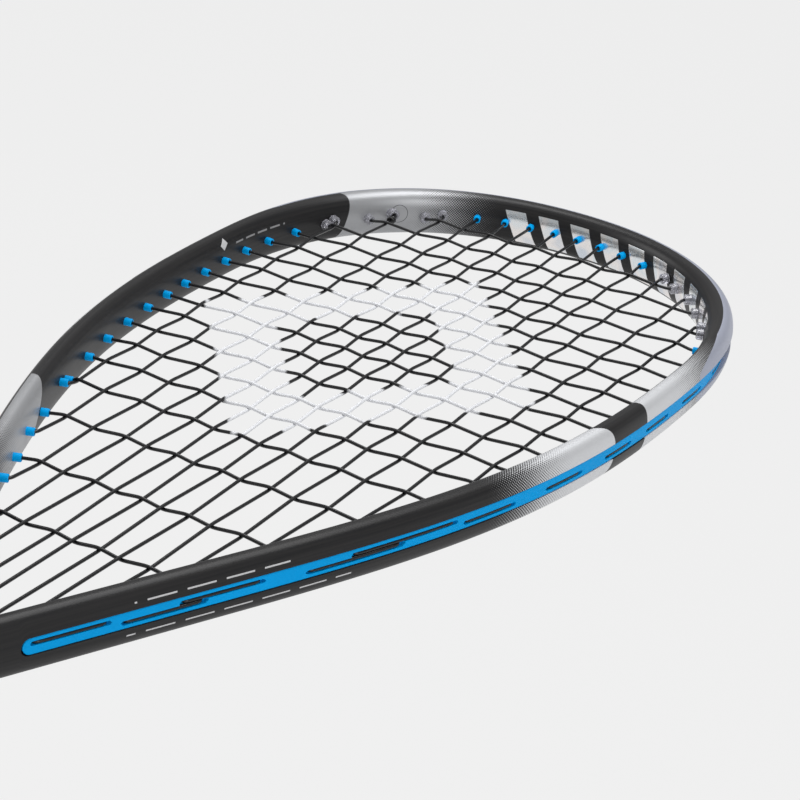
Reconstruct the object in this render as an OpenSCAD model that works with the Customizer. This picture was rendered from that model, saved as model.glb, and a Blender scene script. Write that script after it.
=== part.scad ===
// Squash racket: hollow carbon hoop and shaft, grommets, one continuous string, and a wrapped handle.
// The butt's flat end face is at the origin, +Y runs to the tip, and the strings lie in the plane z = 0.
// All sizes are in millimetres.

/* [Head] */
// Overall length, from the butt's end face to the outside of the tip
overall_length = 686; // [620:1:830]
// Clear width between the hoop's inner walls at the widest point
head_w = 179; // [145:1:216]
// Length from the tip's inner wall to the point where the arms' inner walls would meet
head_l = 398; // [355:1:430]
// Distance from the tip's inner wall down to the widest point
widest_from_tip = 104; // [90:1:125]
// How far the flat crown of the tip reaches before the shoulder turns
crown_reach = 54.5; // [44:0.5:66]
// How far the shoulder's curve reaches above the widest point
shoulder_reach = 63.5; // [50:0.5:76]
// How far the flank's curve reaches below the widest point
flank_reach = 79.5; // [64:0.5:96]
// How far the flank's curve reaches above the straight arm
arm_reach = 88; // [70:1:105]
// Height of the straight arm above the meeting point of the arms
arm_rise = 92; // [78:1:108]
// Angle between each straight arm and the shaft
arm_angle = 24.6; // [21:0.1:29]

/* [Beam] */
// Width of the hoop's tube in the plane of the strings
beam_w = 8.2; // [7.4:0.1:10]
// Depth of the hoop's tube across the plane of the strings
beam_d = 18; // [15:0.5:22]
// How much wider the tube grows at the tip, on its outer side, to shelter the strings
tip_flare = 2.6; // [0:0.1:3.2]
// Wall of the tube
beam_wall = 1; // [0.8:0.1:1.2]
// Depth of the groove that the grommet strips lie in
groove_depth = 2.4; // [2.1:0.1:2.9]
// Width of the groove
groove_w = 5.3; // [4.4:0.1:5.8]

/* [Strings] */
// Diameter of the string
string_d = 1.15; // [0.95:0.05:1.4]
// Distances between neighbouring cross strings, from the tip to the throat
cross_gaps = [17, 17, 15, 15, 14, 14, 14, 14, 13, 14, 15, 16, 16, 19, 24, 30, 32]; // [11:1:34] each
// Distance from the tip's inner wall to the first cross string
first_cross_from_tip = 20.3; // [17:0.1:24]
// Places of one half's main strings across the first cross string, from the middle outwards
main_tip_x = [5, 15, 25, 35.5, 47.5, 63, 78]; // [4:0.5:80] each, rising by 9 or more
// Places of one half's main strings across the last cross string, from the middle outwards
main_throat_x = [4, 12, 21, 30.5, 40.5, 52, 63]; // [4:0.5:66] each, rising by 8 or more
// Gap left between two strings where they cross
weave_gap = 0.1; // [0.06:0.01:0.2]

/* [Grommets] */
// Outside diameter of a grommet barrel
barrel_d = 2.8; // [2.4:0.1:3.4]
// Inside diameter of a grommet barrel
barrel_bore = 1.5; // [1.35:0.05:1.7]
// How far a barrel stands out of the hoop's inner wall
barrel_proud = 2.7; // [1:0.1:3]
// Outside diameter of a soft shoulder grommet
pod_d = 4.2; // [3.6:0.1:4.6]
// Height of the throat grommet above the floor between the arms
saddle_h = 5; // [4.5:0.1:7]

/* [Shaft] */
// Width of the shaft
shaft_w = 19; // [16:0.5:22]
// Depth of the shaft
shaft_d = 17; // [14:0.5:19]
// Height of the floor between the arms above the point where their inner walls would meet
floor_rise = 15.5; // [14:0.5:18]
// Distance from the butt's end face to the shaft's end
shaft_start = 14; // [12:1:20]
// Wall of the shaft
shaft_wall = 1.6; // [1.2:0.1:2]

/* [Handle] */
// Length of the wrapped grip, from the butt's end face
grip_end = 200; // [160:1:235]
// Width of the bare handle under the grip
handle_w = 28.5; // [25:0.5:34]
// Depth of the bare handle under the grip
handle_d = 24.5; // [22:0.5:30]
// Thickness of the grip's wrap
grip_t = 1.8; // [1.2:0.1:2.2]
// Thickness of the butt cap's sleeve
cap_wall = 1.1; // [0.8:0.1:1.4]
// Thickness of the butt cap's end plate
cap_plate = 5; // [4:0.5:7]
// Length of the butt cap's sleeve above its end plate
cap_sleeve = 21; // [15:1:30]
// How far the butt cap's lip stands out past the grip
cap_lip = 0.8; // [0.4:0.1:2]
// Diameter of the round badge let into the butt cap
badge_d = 18; // [12:1:20]
// Thickness of the finishing tape
tape_t = 0.3; // [0.2:0.05:0.5]
// Width of the finishing tape along the handle
tape_l = 15; // [10:1:22]
// Wall of the rubber collar
collar_t = 1.6; // [1.2:0.1:2.4]
// Length of the rubber collar
collar_l = 22; // [16:1:30]
// Wire diameter of the staples that hold the butt cap
staple_wire = 0.8; // [0.6:0.05:0.9]
// Distance between a staple's legs
staple_span = 8; // [6:0.5:10]
// Length of a staple's legs
staple_leg = 4.5; // [3.5:0.1:5.5]
// Diameter of the tack that holds the grip's start
tack_d = 1.2; // [1:0.1:1.6]
// Diameter of the tack's head
tack_head_d = 4; // [3:0.1:5]

/* [Hidden] */

mains_per_side = len(main_tip_x);
crosses = len(cross_gaps) + 1;
clear = 0.1;                    // gap between pieces that are bonded or clipped together
snug = 0.05;                    // gap between pieces that are wrapped or pressed together
hole_facets = 24;
crown_steps = 22;               // facets along each quarter of the crown
flank_steps = 20;               // facets along each flank
arm_steps = 2;                  // facets along each straight arm
edge_power = 2.5;               // roundness of the tube's section: 2 is an ellipse
grip_power = 2.7;               // roundness of the handle's section

string_r = string_d / 2;
weave = (string_d + weave_gap) / 2;         // height of a string above or below the plane at a crossing
stagger = weave;                            // main holes lie this far above the plane, cross holes below
string_slack = 0.15;                        // gap under a string that lies in a bed
strip_sink = 0.35;                          // from the rims of the groove down to the strips' outer face
strip_skin = 0.7;                           // thickness of a strip under a string's bed
bend_gap = 0.3;                             // from a barrel's mouth to where the string bends

y_tip = overall_length - beam_w - tip_flare;    // inner wall at the tip
y_widest = y_tip - widest_from_tip;
y_meet = y_tip - head_l;                    // where the arms' inner walls would meet
y_floor = y_meet + floor_rise;              // floor of the gap between the arms
y_cross_1 = y_tip - first_cross_from_tip;

groove_floor = beam_w - groove_depth;       // counted outwards from the inner wall, as is all below
strip_face = beam_w - strip_sink;           // outer face of the strips
strip_floor = groove_floor + clear / 2;
slot_floor = groove_floor + strip_skin;     // a string's bed in a strip
loop_n = slot_floor + string_r + string_slack;  // centre of a string where it runs along the outside
slot_w = string_d + 0.4;
bend_n = -barrel_proud - bend_gap;

// ---- outline of the hoop's inner wall, as a function of u:
// 0 at the tip, 1 at the widest point, 2 at the top of the straight arm, 3 where the arms meet
function bezier(p, t) = pow(1-t, 3)*p[0] + 3*pow(1-t, 2)*t*p[1] + 3*(1-t)*t*t*p[2] + pow(t, 3)*p[3];
function bezier_slope(p, t) = 3*pow(1-t, 2)*(p[1]-p[0]) + 6*(1-t)*t*(p[2]-p[1]) + 3*t*t*(p[3]-p[2]);
function unit(v) = v / norm(v);

arm_way = [-sin(arm_angle), -cos(arm_angle)];
arm_top = [arm_rise * tan(arm_angle), y_meet + arm_rise];
arm_len = arm_rise / cos(arm_angle);
crown = [[0, y_tip], [crown_reach, y_tip], [head_w/2, y_widest + shoulder_reach], [head_w/2, y_widest]];
flank = [[head_w/2, y_widest], [head_w/2, y_widest - flank_reach], arm_top - arm_reach * arm_way, arm_top];

function wall(u) = u <= 1 ? bezier(crown, u)
    : u <= 2 ? bezier(flank, u-1) : arm_top + (u-2)*arm_len*arm_way;
function way(u) = u <= 1 ? unit(bezier_slope(crown, u))
    : u <= 2 ? unit(bezier_slope(flank, u-1)) : arm_way;
function out(u) = [-way(u).y, way(u).x];
// A point n outwards from the inner wall, on the right (side = 1) or the left (side = -1)
function at(u, n, side=1) = let (p = wall(u) + n*out(u)) [side*p.x, p.y];

// ---- where strings meet the barrels' mouths
function root(f, lo, hi, n=36) = n == 0 ? (lo+hi)/2 : let (m = (lo+hi)/2)
    f(m) < 0 ? root(f, m, hi, n-1) : root(f, lo, m, n-1);
function sum_to(list, n) = n <= 0 ? 0 : list[n-1] + sum_to(list, n-1);
function mouth(u) = at(u, -barrel_proud);
function cross_y(j) = y_cross_1 - sum_to(cross_gaps, j-1);
y_cross_last = cross_y(crosses);
function main_x(k, y) = main_throat_x[k]
    + (main_tip_x[k] - main_throat_x[k]) * (y - y_cross_last) / (y_cross_1 - y_cross_last);

main_tip_u = [for (k = [0:mains_per_side-1]) root(function(u) mouth(u).x - main_x(k, mouth(u).y), 0, 1)];
main_throat_u = [for (k = [0:mains_per_side-1])
    root(function(u) main_x(k, mouth(u).y) - mouth(u).x, 1, 2.95)];
cross_u = [for (j = [1:crosses]) root(function(u) cross_y(j) - mouth(u).y, 0, 2.95)];
collar_lap = 7;                             // how far the collar reaches down over the grip
tie_gap = 5.2;                              // from the last main's hole up to the tie-off hole beside it
tie_main = 2;                               // the main that the throat's tie-off is knotted to
tie_u = main_throat_u[tie_main] - tie_gap / arm_len;
big_main = mains_per_side - 2;              // the main that shares the tip's tie-off hole, on the left
pod_crosses = 3;                            // cross strings that each soft shoulder grommet carries
pod_mains = 3;                              // main strings that each soft shoulder grommet carries
pod_main = mains_per_side - pod_mains;      // the first of those mains, from the middle
pod_u0 = (main_tip_u[pod_main - 1] + main_tip_u[pod_main]) / 2;
pod_u1 = (cross_u[pod_crosses - 1] + cross_u[pod_crosses]) / 2;
strip_end_u = main_throat_u[1] + 3.4 / arm_len;
groove_end_u = strip_end_u + 0.6 / arm_len;
hoop_end_u = 2.965;                         // the arms' ends, buried in the shaft
cavity_end_u = 2.83;

// ---- sweeping a section along the wall
function steps(lo, hi, n) = [for (i = [0:n]) lo + (hi-lo)*i/n];
wall_us = concat(steps(0, 1 - 1/crown_steps, crown_steps - 1), steps(1, 2 - 1/flank_steps, flank_steps - 1),
                 steps(2, 3, arm_steps));
// Rings from u = lo to hi; the same rings serve every piece, so that their facets match
function us(lo, hi) = concat([lo], [for (u = wall_us) if (u > lo + 0.006 && u < hi - 0.006) u], [hi]);
// The same rings on one side, each as [u, side]; the left's run up and the right's run down
function on(list, side) = side > 0 ? [for (u = list) [u, 1]] : [for (i = [len(list)-1:-1:0]) [list[i], -1]];
function round(list) = concat([for (i = [len(list)-1:-1:1]) [list[i], -1]], on(list, 1));

// Faces between rings of n points, which run anticlockwise as seen from ahead
function tube_faces(rings, n) = concat(
    [[for (i = [0:n-1]) i]],
    [for (r = [0:rings-2]) for (i = [0:n-1]) [r*n + i, (r+1)*n + i, (r+1)*n + (i+1)%n]],
    [for (r = [0:rings-2]) for (i = [0:n-1]) [r*n + i, (r+1)*n + (i+1)%n, r*n + (i+1)%n]],
    [[for (i = [n-1:-1:0]) (rings-1)*n + i]]);

module skin(rings) {
    polyhedron([for (r = rings) for (p = r) p], tube_faces(len(rings), len(rings[0])), convexity=8);
}
function ring(station, section) =
    [for (q = section) let (p = at(station[0], q[0], station[1])) [p.x, p.y, q[1]]];
module sweep(stations, section) skin([for (s = stations) ring(s, section)]);

// Superellipse of half-sizes a and b, anticlockwise
function oval(a, b, power, n) = [for (i = [0:n-1]) let (t = 360*i/n)
    [a*sign(cos(t))*pow(abs(cos(t)), 2/power), b*sign(sin(t))*pow(abs(sin(t)), 2/power)]];
function shifted(list, d) = [for (p = list) p + d];
// A superellipse prism along +Y, and a loft of superellipses at stations [y, a, b]
module prism(a, b, power, n, y0, y1)
    translate([0, y0, 0]) rotate([-90, 0, 0]) linear_extrude(y1 - y0) polygon(oval(a, b, power, n));
module loft(stations, power, n)
    skin([for (s = stations) [for (q = oval(s[1], s[2], power, n)) [-q.x, s[0], q.y]]]);

// Section of the hoop's tube, with the strips' groove on the outer side or closed again below the strips
rim = groove_w / 2;
half_w = beam_w / 2;
half_d = beam_d / 2;
function edge_n(z) = half_w + half_w * pow(1 - pow(abs(z)/half_d, edge_power), 1/edge_power);
tube_back = [for (p = shifted(oval(half_w, half_d, edge_power, 22), [half_w, 0]))
    if (p.x < half_w || abs(p.y) > rim + 0.8) p];
tube_top = [for (p = tube_back) if (p.y >= 0) p];
tube_bottom = [for (p = tube_back) if (p.y < 0) p];
function tube_section(inner_n, inner_z, grow=1) = concat([[inner_n, inner_z], [grow*edge_n(rim), rim]],
    [for (p = concat(tube_top, tube_bottom)) [grow*p.x, p.y]],
    [[grow*edge_n(rim), -rim], [inner_n, -inner_z]]);
// The tube keeps its width up to the widest point, and has the whole flare from flare_rise above it
flare_rise = widest_from_tip * 0.63;
function gently(t) = let (c = min(1, max(0, t))) c*c*(3 - 2*c);
function grow_at(u) = 1 + gently((wall(u).y - y_widest) / flare_rise) * tip_flare / beam_w;
function grooved(u) = tube_section(groove_floor, rim, u < 1 ? grow_at(u) : 1);
closed = tube_section(edge_n(rim/3), rim/3);
cavity_half = (groove_floor - 2*beam_wall) / 2;
function cavity_section(inset) =
    shifted(oval(cavity_half - inset, half_d - beam_wall - inset, edge_power, 12), [groove_floor/2, 0]);

// ---- holes and barrels, square to the wall
module bar(u, side, z, from, to, r) {
    p = at(u, from, side);
    n = out(u);
    translate([p.x, p.y, z]) rotate([0, 0, atan2(n.y, side*n.x)]) rotate([0, 90, 0])
        cylinder(r=r, h=to - from, $fn=hole_facets);
}
tie_bore = 2*string_d + 0.5;                // the shared tie-off hole holds two strings
tie_shift = (string_d + snug) / 2;
function step_u(mm, u) = mm / norm(u < 1 ? bezier_slope(crown, u) : bezier_slope(flank, u-1));
// Every hole of one side, as [u, z, outside diameter, bore, diameter of the head inside]
function tip_holes(lo, hi, side) = [for (k = [0:mains_per_side-1]) let (u = main_tip_u[k])
    if (u > lo && u < hi) let (big = side < 0 && k == big_main, soft = k >= pod_main)
        [u, stagger, big ? tie_bore + 1.3 : barrel_d, big ? tie_bore : barrel_bore,
         soft ? pod_d + (big ? 1 : 0) : barrel_d]];
function throat_holes(lo, hi) = [for (k = [1:mains_per_side-1]) let (u = main_throat_u[k])
    if (u > lo && u < hi) [u, stagger, barrel_d, barrel_bore, barrel_d]];
function cross_holes(lo, hi) = [for (j = [0:crosses-1]) let (u = cross_u[j])
    if (u > lo && u < hi) [u, -stagger, barrel_d, barrel_bore, j < pod_crosses ? pod_d : barrel_d]];
function tie_holes(lo, hi, side) = side > 0 && tie_u > lo && tie_u < hi
    ? [[tie_u, -stagger, barrel_d, barrel_bore, barrel_d]] : [];
function holes(lo, hi, side) =
    concat(tip_holes(lo, hi, side), throat_holes(lo, hi), cross_holes(lo, hi), tie_holes(lo, hi, side));

// ---- loops of string along the outside of one side, as [u, u, z]
function loops(side) = concat(
    [for (k = [0:2:mains_per_side-2]) [main_tip_u[k], main_tip_u[k+1], stagger]],
    [for (k = [1:2:mains_per_side-2]) [main_throat_u[k+1], main_throat_u[k], stagger]],
    [for (j = [side > 0 ? 1 : 0:2:crosses-2]) [cross_u[j], cross_u[j+1], -stagger]],
    side > 0 ? [[cross_u[crosses-1], tie_u, -stagger], [cross_u[0], main_tip_u[big_main], -stagger],
                [cross_u[1], main_tip_u[mains_per_side-1], stagger], [main_tip_u[big_main], cross_u[1], 0]]
             : [[main_tip_u[big_main], main_tip_u[mains_per_side-1], stagger]]);

// One string's bed, cut from the strips
module bed(loop, side) {
    lo = loop[0] - 0.9 * step_u(1, min(loop[0], 1.99));
    hi = loop[1] + 0.9 * step_u(1, min(loop[1], 1.99));
    line = steps(lo, hi, 4);
    depth = slot_w + (loop[2] == 0 ? 2*stagger : 0);
    translate([0, 0, loop[2] - depth/2]) linear_extrude(depth)
        polygon(concat([for (u = line) at(u, slot_floor, side)],
                       [for (i = [len(line)-1:-1:0]) at(line[i], beam_w + 1, side)]));
}

module strip(stations, lo, hi, sides) {
    w = rim - clear;
    difference() {
        union() {
            sweep(stations, [[strip_floor, w], [strip_floor, -w], [strip_face, -w], [strip_face, w]]);
            for (side = sides) for (h = holes(lo, hi, side)) {
                bar(h[0], side, h[1], -barrel_proud, strip_floor + 0.3, h[2]/2);
                if (h[4] > h[2]) bar(h[0], side, h[1], -barrel_proud, -clear, h[4]/2);
            }
        }
        for (side = sides) for (h = holes(lo, hi, side))
            bar(h[0], side, h[1], -barrel_proud - 1, strip_face + 1, h[3]/2);
        for (side = sides) for (l = loops(side)) if (l[1] > lo && l[0] < hi) bed(l, side);
    }
}

// ---- carbon frame
function softly(a, b, blend) = (a + b + sqrt((a-b)*(a-b) + blend*blend)) / 2;
function arms_outside(y) = (y - y_meet) * tan(arm_angle) + beam_w / cos(arm_angle);
function shaft_half(y) = softly(shaft_w/2, arms_outside(y) - 0.2, 3);
flare_start = grip_end - collar_lap + collar_l + 1;     // the shaft keeps its size up to the collar's end
shaft_stations = concat([[shaft_start, shaft_w/2, shaft_d/2], [flare_start, shaft_w/2, shaft_d/2]],
    [for (share = [0.25, 0.45, 0.55, 0.64, 0.72, 0.79, 0.86, 0.93, 1])
        let (y = flare_start + share*(y_floor - flare_start))
        [y, shaft_half(y), shaft_d/2 + share*(half_d + 0.15 - shaft_d/2)]]);
shaft_web = 1.6;

module shaft_bore(side) intersection() {
    prism(shaft_w/2 - shaft_wall, shaft_d/2 - shaft_wall, edge_power, 24, shaft_start - 1, y_floor - 32);
    translate([side > 0 ? shaft_web/2 : -shaft_w - shaft_web/2, 0, -shaft_d])
        cube([shaft_w, y_floor, 2*shaft_d]);
}
module frame() color([0.07, 0.07, 0.08]) difference() {
    hoop_us = us(0, groove_end_u);
    union() {
        skin(concat([ring([hoop_end_u, -1], closed), ring([groove_end_u + 0.006, -1], closed)],
                    [for (s = round(hoop_us)) ring(s, grooved(s[0]))],
                    [ring([groove_end_u + 0.006, 1], closed), ring([hoop_end_u, 1], closed)]));
        loft(shaft_stations, edge_power, 24);
    }
    sweep(round(us(0, cavity_end_u)), cavity_section(0));
    for (side = [-1, 1]) shaft_bore(side);
    for (side = [-1, 1]) for (h = holes(0, strip_end_u, side))
        bar(h[0], side, h[1], -2, groove_floor + 1, h[2]/2 + clear);
}
foam_u0 = cross_u[pod_crosses] - 4 * step_u(1, cross_u[pod_crosses]);
foam_u1 = cross_u[pod_crosses + 4] + 4 * step_u(1, cross_u[pod_crosses + 4]);
module foam_insert(side) color([0.75, 0.77, 0.8]) difference() {
    sweep(on(us(foam_u0, foam_u1), side), cavity_section(clear));
    for (h = cross_holes(foam_u0, foam_u1))
        bar(h[0], side, h[1], 0, groove_floor, h[2]/2 + clear);
}
module foam_insert_left() foam_insert(-1);
module foam_insert_right() foam_insert(1);

// ---- grommets
joint_gap = 0.25;
function gap_u(u) = step_u(joint_gap, min(u, 1.99));
module side_grommet_strip(side) color([0.0, 0.55, 0.88])
    strip(on(us(pod_u1 + gap_u(pod_u1), strip_end_u), side), pod_u1, strip_end_u, [side]);
module side_grommet_strip_left() side_grommet_strip(-1);
module side_grommet_strip_right() side_grommet_strip(1);
module shoulder_grommet(side) color([0.7, 0.72, 0.76])
    strip(on(us(pod_u0 + gap_u(pod_u0), pod_u1 - gap_u(pod_u1)), side), pod_u0, pod_u1, [side]);
module shoulder_grommet_left() shoulder_grommet(-1);
module shoulder_grommet_right() shoulder_grommet(1);
module tip_grommet_strip() color([0.0, 0.55, 0.88])
    strip(round(us(0, pod_u0 - gap_u(pod_u0))), 0, pod_u0, [-1, 1]);

saddle_top = y_floor + saddle_h;
saddle_x = main_x(0, saddle_top);
saddle_turn = y_floor + clear + string_r + string_slack;    // where the middle mains turn under the saddle
module throat_grommet() color([0.0, 0.55, 0.88]) difference() {
    low = (y_floor - y_meet) * tan(arm_angle) - clear;
    high = (saddle_top - y_meet) * tan(arm_angle) - clear;
    translate([0, 0, -half_d * 0.55]) linear_extrude(half_d * 1.1)
        polygon([[-low, y_floor + snug], [low, y_floor + snug], [high, saddle_top], [-high, saddle_top]]);
    for (side = [-1, 1]) translate([side*saddle_x, y_floor - 1, stagger]) rotate([-90, 0, 0])
        cylinder(d=barrel_bore, h=saddle_h + 2, $fn=hole_facets);
    translate([-saddle_x - barrel_bore/2, y_floor - 1, stagger - slot_w/2])
        cube([2*saddle_x + barrel_bore, 1 + clear + string_d + 0.4, slot_w]);
}

// ---- string: one length, woven from the tip's tie-off to the throat's
function side_of(i) = i > mains_per_side ? 1 : -1;
function rank_of(i) = i > mains_per_side ? i - mains_per_side - 1 : mains_per_side - i;
function tip_u_of(i) = let (k = rank_of(i), u = main_tip_u[k])
    side_of(i) < 0 && k == big_main ? u - step_u(tie_shift, u) : u;
function top_y(i) = mouth(tip_u_of(i)).y;
function bottom_y(i) = let (k = rank_of(i)) k == 0 ? saddle_top : mouth(main_throat_u[k]).y;
function meets(i, j) = cross_y(j) < top_y(i) - 1.5 && cross_y(j) > bottom_y(i) + 1.2;
function over(i, j) = (i + j) % 2 == 1 ? 1 : -1;    // whether the main passes over the cross
function place(u, n, side, z) = let (p = at(u, n, side)) [p.x, p.y, z];
function along(u, v, side, z) = [place((u+v)/2, loop_n, side, z)];
function main_up(i) = let (s = side_of(i), k = rank_of(i)) concat(
    k == 0 ? [[s*saddle_x, saddle_turn, stagger], [s*saddle_x, saddle_top, stagger]]
           : [place(main_throat_u[k], loop_n, s, stagger), place(main_throat_u[k], bend_n, s, stagger)],
    [for (j = [crosses:-1:1]) if (meets(i, j)) [s*main_x(k, cross_y(j)), cross_y(j), weave*over(i, j)]],
    [place(tip_u_of(i), bend_n, s, stagger), place(tip_u_of(i), loop_n, s, stagger)]);
function backwards(list) = [for (i = [len(list)-1:-1:0]) list[i]];
function cross_right(j) = let (u = cross_u[j-1]) concat(
    [place(u, loop_n, -1, -stagger), place(u, bend_n, -1, -stagger)],
    [for (i = [1:2*mains_per_side]) if (meets(i, j))
        [side_of(i)*main_x(rank_of(i), cross_y(j)), cross_y(j), -weave*over(i, j)]],
    [place(u, bend_n, 1, -stagger), place(u, loop_n, 1, -stagger)]);

last = mains_per_side - 1;
tail_u = main_tip_u[big_main] + step_u(tie_shift, main_tip_u[big_main]);
function tip_link(i) = i >= 2*mains_per_side ? [] :
    along(tip_u_of(i), tip_u_of(i+1), side_of(i), stagger);
function throat_link(i) = let (k = rank_of(i)) k == 0 ? [] :
    along(main_throat_u[k], main_throat_u[rank_of(i+1)], side_of(i), stagger);
string_path = concat(
    [place(tail_u, -barrel_proud, -1, stagger), place(tail_u, loop_n, -1, stagger)],
    along(tail_u, main_tip_u[last], -1, stagger),
    [for (i = [1:2*mains_per_side]) for (p = i % 2 == 1 ? concat(backwards(main_up(i)), throat_link(i))
                                                       : concat(main_up(i), tip_link(i))) p],
    along(main_tip_u[last], cross_u[1], 1, stagger), [place(cross_u[1], loop_n, 1, stagger)],
    along(cross_u[1], main_tip_u[big_main], 1, 0), [place(main_tip_u[big_main], loop_n, 1, -stagger)],
    along(main_tip_u[big_main], cross_u[0], 1, -stagger),
    [for (j = [1:crosses]) let (s = j % 2 == 1 ? -1 : 1)
        for (p = concat(s < 0 ? backwards(cross_right(j)) : cross_right(j),
                        j < crosses ? along(cross_u[j-1], cross_u[j], s, -stagger) : [])) p],
    along(cross_u[crosses-1], tie_u, 1, -stagger),
    [place(tie_u, loop_n, 1, -stagger), place(tie_u, bend_n, 1, -stagger)]);

string_sides = 6;
// A ring across the path at point k, leaning halfway round its corner
// and widened to keep the string's thickness
function string_ring(path, k) = let (
    n = len(path),
    t0 = unit(path[max(k, 1)] - path[max(k, 1) - 1]),
    t1 = unit(path[min(k, n-2) + 1] - path[min(k, n-2)]),
    t = unit(t0 + t1),
    e1 = unit(cross([0, 0, 1], t)),
    e2 = cross(t, e1),
    wide = 1 / max(0.6, sqrt((1 + t0*t1) / 2)))
    [for (a = [0:string_sides-1]) let (w = 360*(a + 0.5)/string_sides)
        path[k] + string_r*(wide*cos(w)*e1 + sin(w)*e2)];
module string() color([0.03, 0.03, 0.03])
    skin([for (k = [0:len(string_path)-1]) string_ring(string_path, k)]);

// Two turns of the string's tail round a main, centred on a point between two places on that main
module tie_knot(from, to, share) {
    way3 = unit(to - from);
    turn = string_r * 0.9;
    color([0.03, 0.03, 0.03]) for (n = [0, 1])
        translate(from + (share + n*(2*turn + snug)) * way3)
            rotate([0, acos(way3.z), atan2(way3.y, way3.x)])
                rotate_extrude($fn=24) translate([string_r + snug + turn, 0]) circle(r=turn, $fn=16);
}
knot_lift = pod_d/2 + 0.4;                   // clears the slanting face of the soft grommet's head
big_main_up = main_up(mains_per_side - big_main);
tie_main_up = main_up(mains_per_side + 1 + tie_main);
module tip_tie_knot() tie_knot(big_main_up[len(big_main_up)-2], big_main_up[len(big_main_up)-3], knot_lift);
module throat_tie_knot() tie_knot(tie_main_up[1], tie_main_up[2], tie_gap - 1.2);

// ---- handle
shell_start = cap_plate + 1;
staple_rise = 9;                            // from the cap's end plate up to the staples
tack_rise = 14;                             // from the cap's end plate up to the tack
hole_gap = 0.02;                            // gap round a driven staple or tack
grip_in_w = handle_w/2 + snug;
grip_in_d = handle_d/2 + snug;
sleeve_end = cap_plate + cap_sleeve;
module handle_shell(side) color([0.16, 0.16, 0.17]) difference() {
    prism(handle_w/2, handle_d/2, grip_power, 40, shell_start, grip_end);
    prism(shaft_w/2 + clear, shaft_d/2 + clear, edge_power, 24, shaft_start - 0.5, grip_end + 1);
    translate([side > 0 ? -handle_w : 0, 0, -handle_d]) cube([handle_w, grip_end + 1, 2*handle_d]);
    for (z = [-1, 1]) staple_legs(z, staple_wire/2 + hole_gap);
    tack_shank(tack_d/2 + hole_gap);
}
module handle_shell_left() handle_shell(-1);
module handle_shell_right() handle_shell(1);

sleeve_w = grip_in_w + cap_wall;
sleeve_d = grip_in_d + cap_wall;
lip_w = sleeve_w + grip_t + cap_lip;
lip_d = sleeve_d + grip_t + cap_lip;
module butt_cap() color([0.05, 0.05, 0.055]) difference() {
    union() {
        prism(lip_w, lip_d, grip_power, 40, 0, cap_plate);
        prism(sleeve_w, sleeve_d, grip_power, 40, cap_plate - 1, sleeve_end);
    }
    prism(grip_in_w, grip_in_d, grip_power, 40, cap_plate, sleeve_end + 1);
    rotate([-90, 0, 0]) translate([0, 0, -1]) cylinder(d=badge_d + 2*clear, h=2, $fn=64);
    for (z = [-1, 1]) staple_legs(z, staple_wire/2 + hole_gap);
    for (z = [-1, 1]) translate([0, staple_y, z*(staple_z - staple_wire/2 - hole_gap + 1)])
        cube([staple_span + 2*staple_wire, staple_wire + clear, 2], center=true);
    tack_shank(tack_d/2 + hole_gap);
}
module butt_badge() color([0.35, 0.36, 0.38])
    rotate([-90, 0, 0]) cylinder(d=badge_d, h=0.9, $fn=64);

staple_y = cap_plate + staple_rise;
staple_z = sleeve_d - 0.16 - staple_wire/2;     // the crowns lie just under the sleeve's face
module staple_legs(z, r) for (x = [-1, 1])
    translate([x*staple_span/2, staple_y, z > 0 ? staple_z - staple_leg : -staple_z])
        cylinder(r=r, h=staple_leg, $fn=hole_facets);
module cap_staples() color([0.7, 0.7, 0.7]) for (z = [-1, 1]) {
    staple_legs(z, staple_wire/2);
    translate([-staple_span/2 - staple_wire/2, staple_y, z*staple_z]) rotate([0, 90, 0])
        cylinder(d=staple_wire, h=staple_span + staple_wire, $fn=hole_facets);
}

tack_y = cap_plate + tack_rise;
tack_l = 5;
tack_head_t = 0.5;
module tack_shank(r) translate([sleeve_w - tack_l, tack_y, 0]) rotate([0, 90, 0])
    cylinder(r=r, h=tack_l + tack_head_t/2, $fn=hole_facets);
module grip_tack() color([0.7, 0.7, 0.7]) {
    tack_shank(tack_d/2);
    translate([sleeve_w + hole_gap, tack_y, 0]) rotate([0, 90, 0])
        cylinder(d=tack_head_d, h=tack_head_t, $fn=hole_facets);
}

module grip() color([0.1, 0.1, 0.105]) difference() {
    union() {
        prism(sleeve_w + grip_t, sleeve_d + grip_t, grip_power, 40, cap_plate + snug, sleeve_end + 2);
        prism(grip_in_w + grip_t, grip_in_d + grip_t, grip_power, 40, cap_plate + snug, grip_end - 1);
    }
    prism(sleeve_w + snug, sleeve_d + snug, grip_power, 40, cap_plate - 1, sleeve_end + clear);
    prism(grip_in_w, grip_in_d, grip_power, 40, cap_plate - 1, grip_end);
    translate([sleeve_w - 1, tack_y, 0]) rotate([0, 90, 0])
        cylinder(d=tack_head_d + 2*clear, h=1 + tack_head_t + clear, $fn=hole_facets);
}
wrap_w = grip_in_w + grip_t;
wrap_d = grip_in_d + grip_t;
module finishing_tape() color([0.02, 0.02, 0.02]) difference() {
    prism(wrap_w + snug + tape_t, wrap_d + snug + tape_t, grip_power, 40,
          grip_end - tape_l, grip_end - 0.2);
    prism(wrap_w + snug, wrap_d + snug, grip_power, 40, grip_end - tape_l - 1, grip_end);
}
collar_y0 = grip_end - collar_lap;
collar_in_w = wrap_w + tape_t + 2*snug;
collar_in_d = wrap_d + tape_t + 2*snug;
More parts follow.
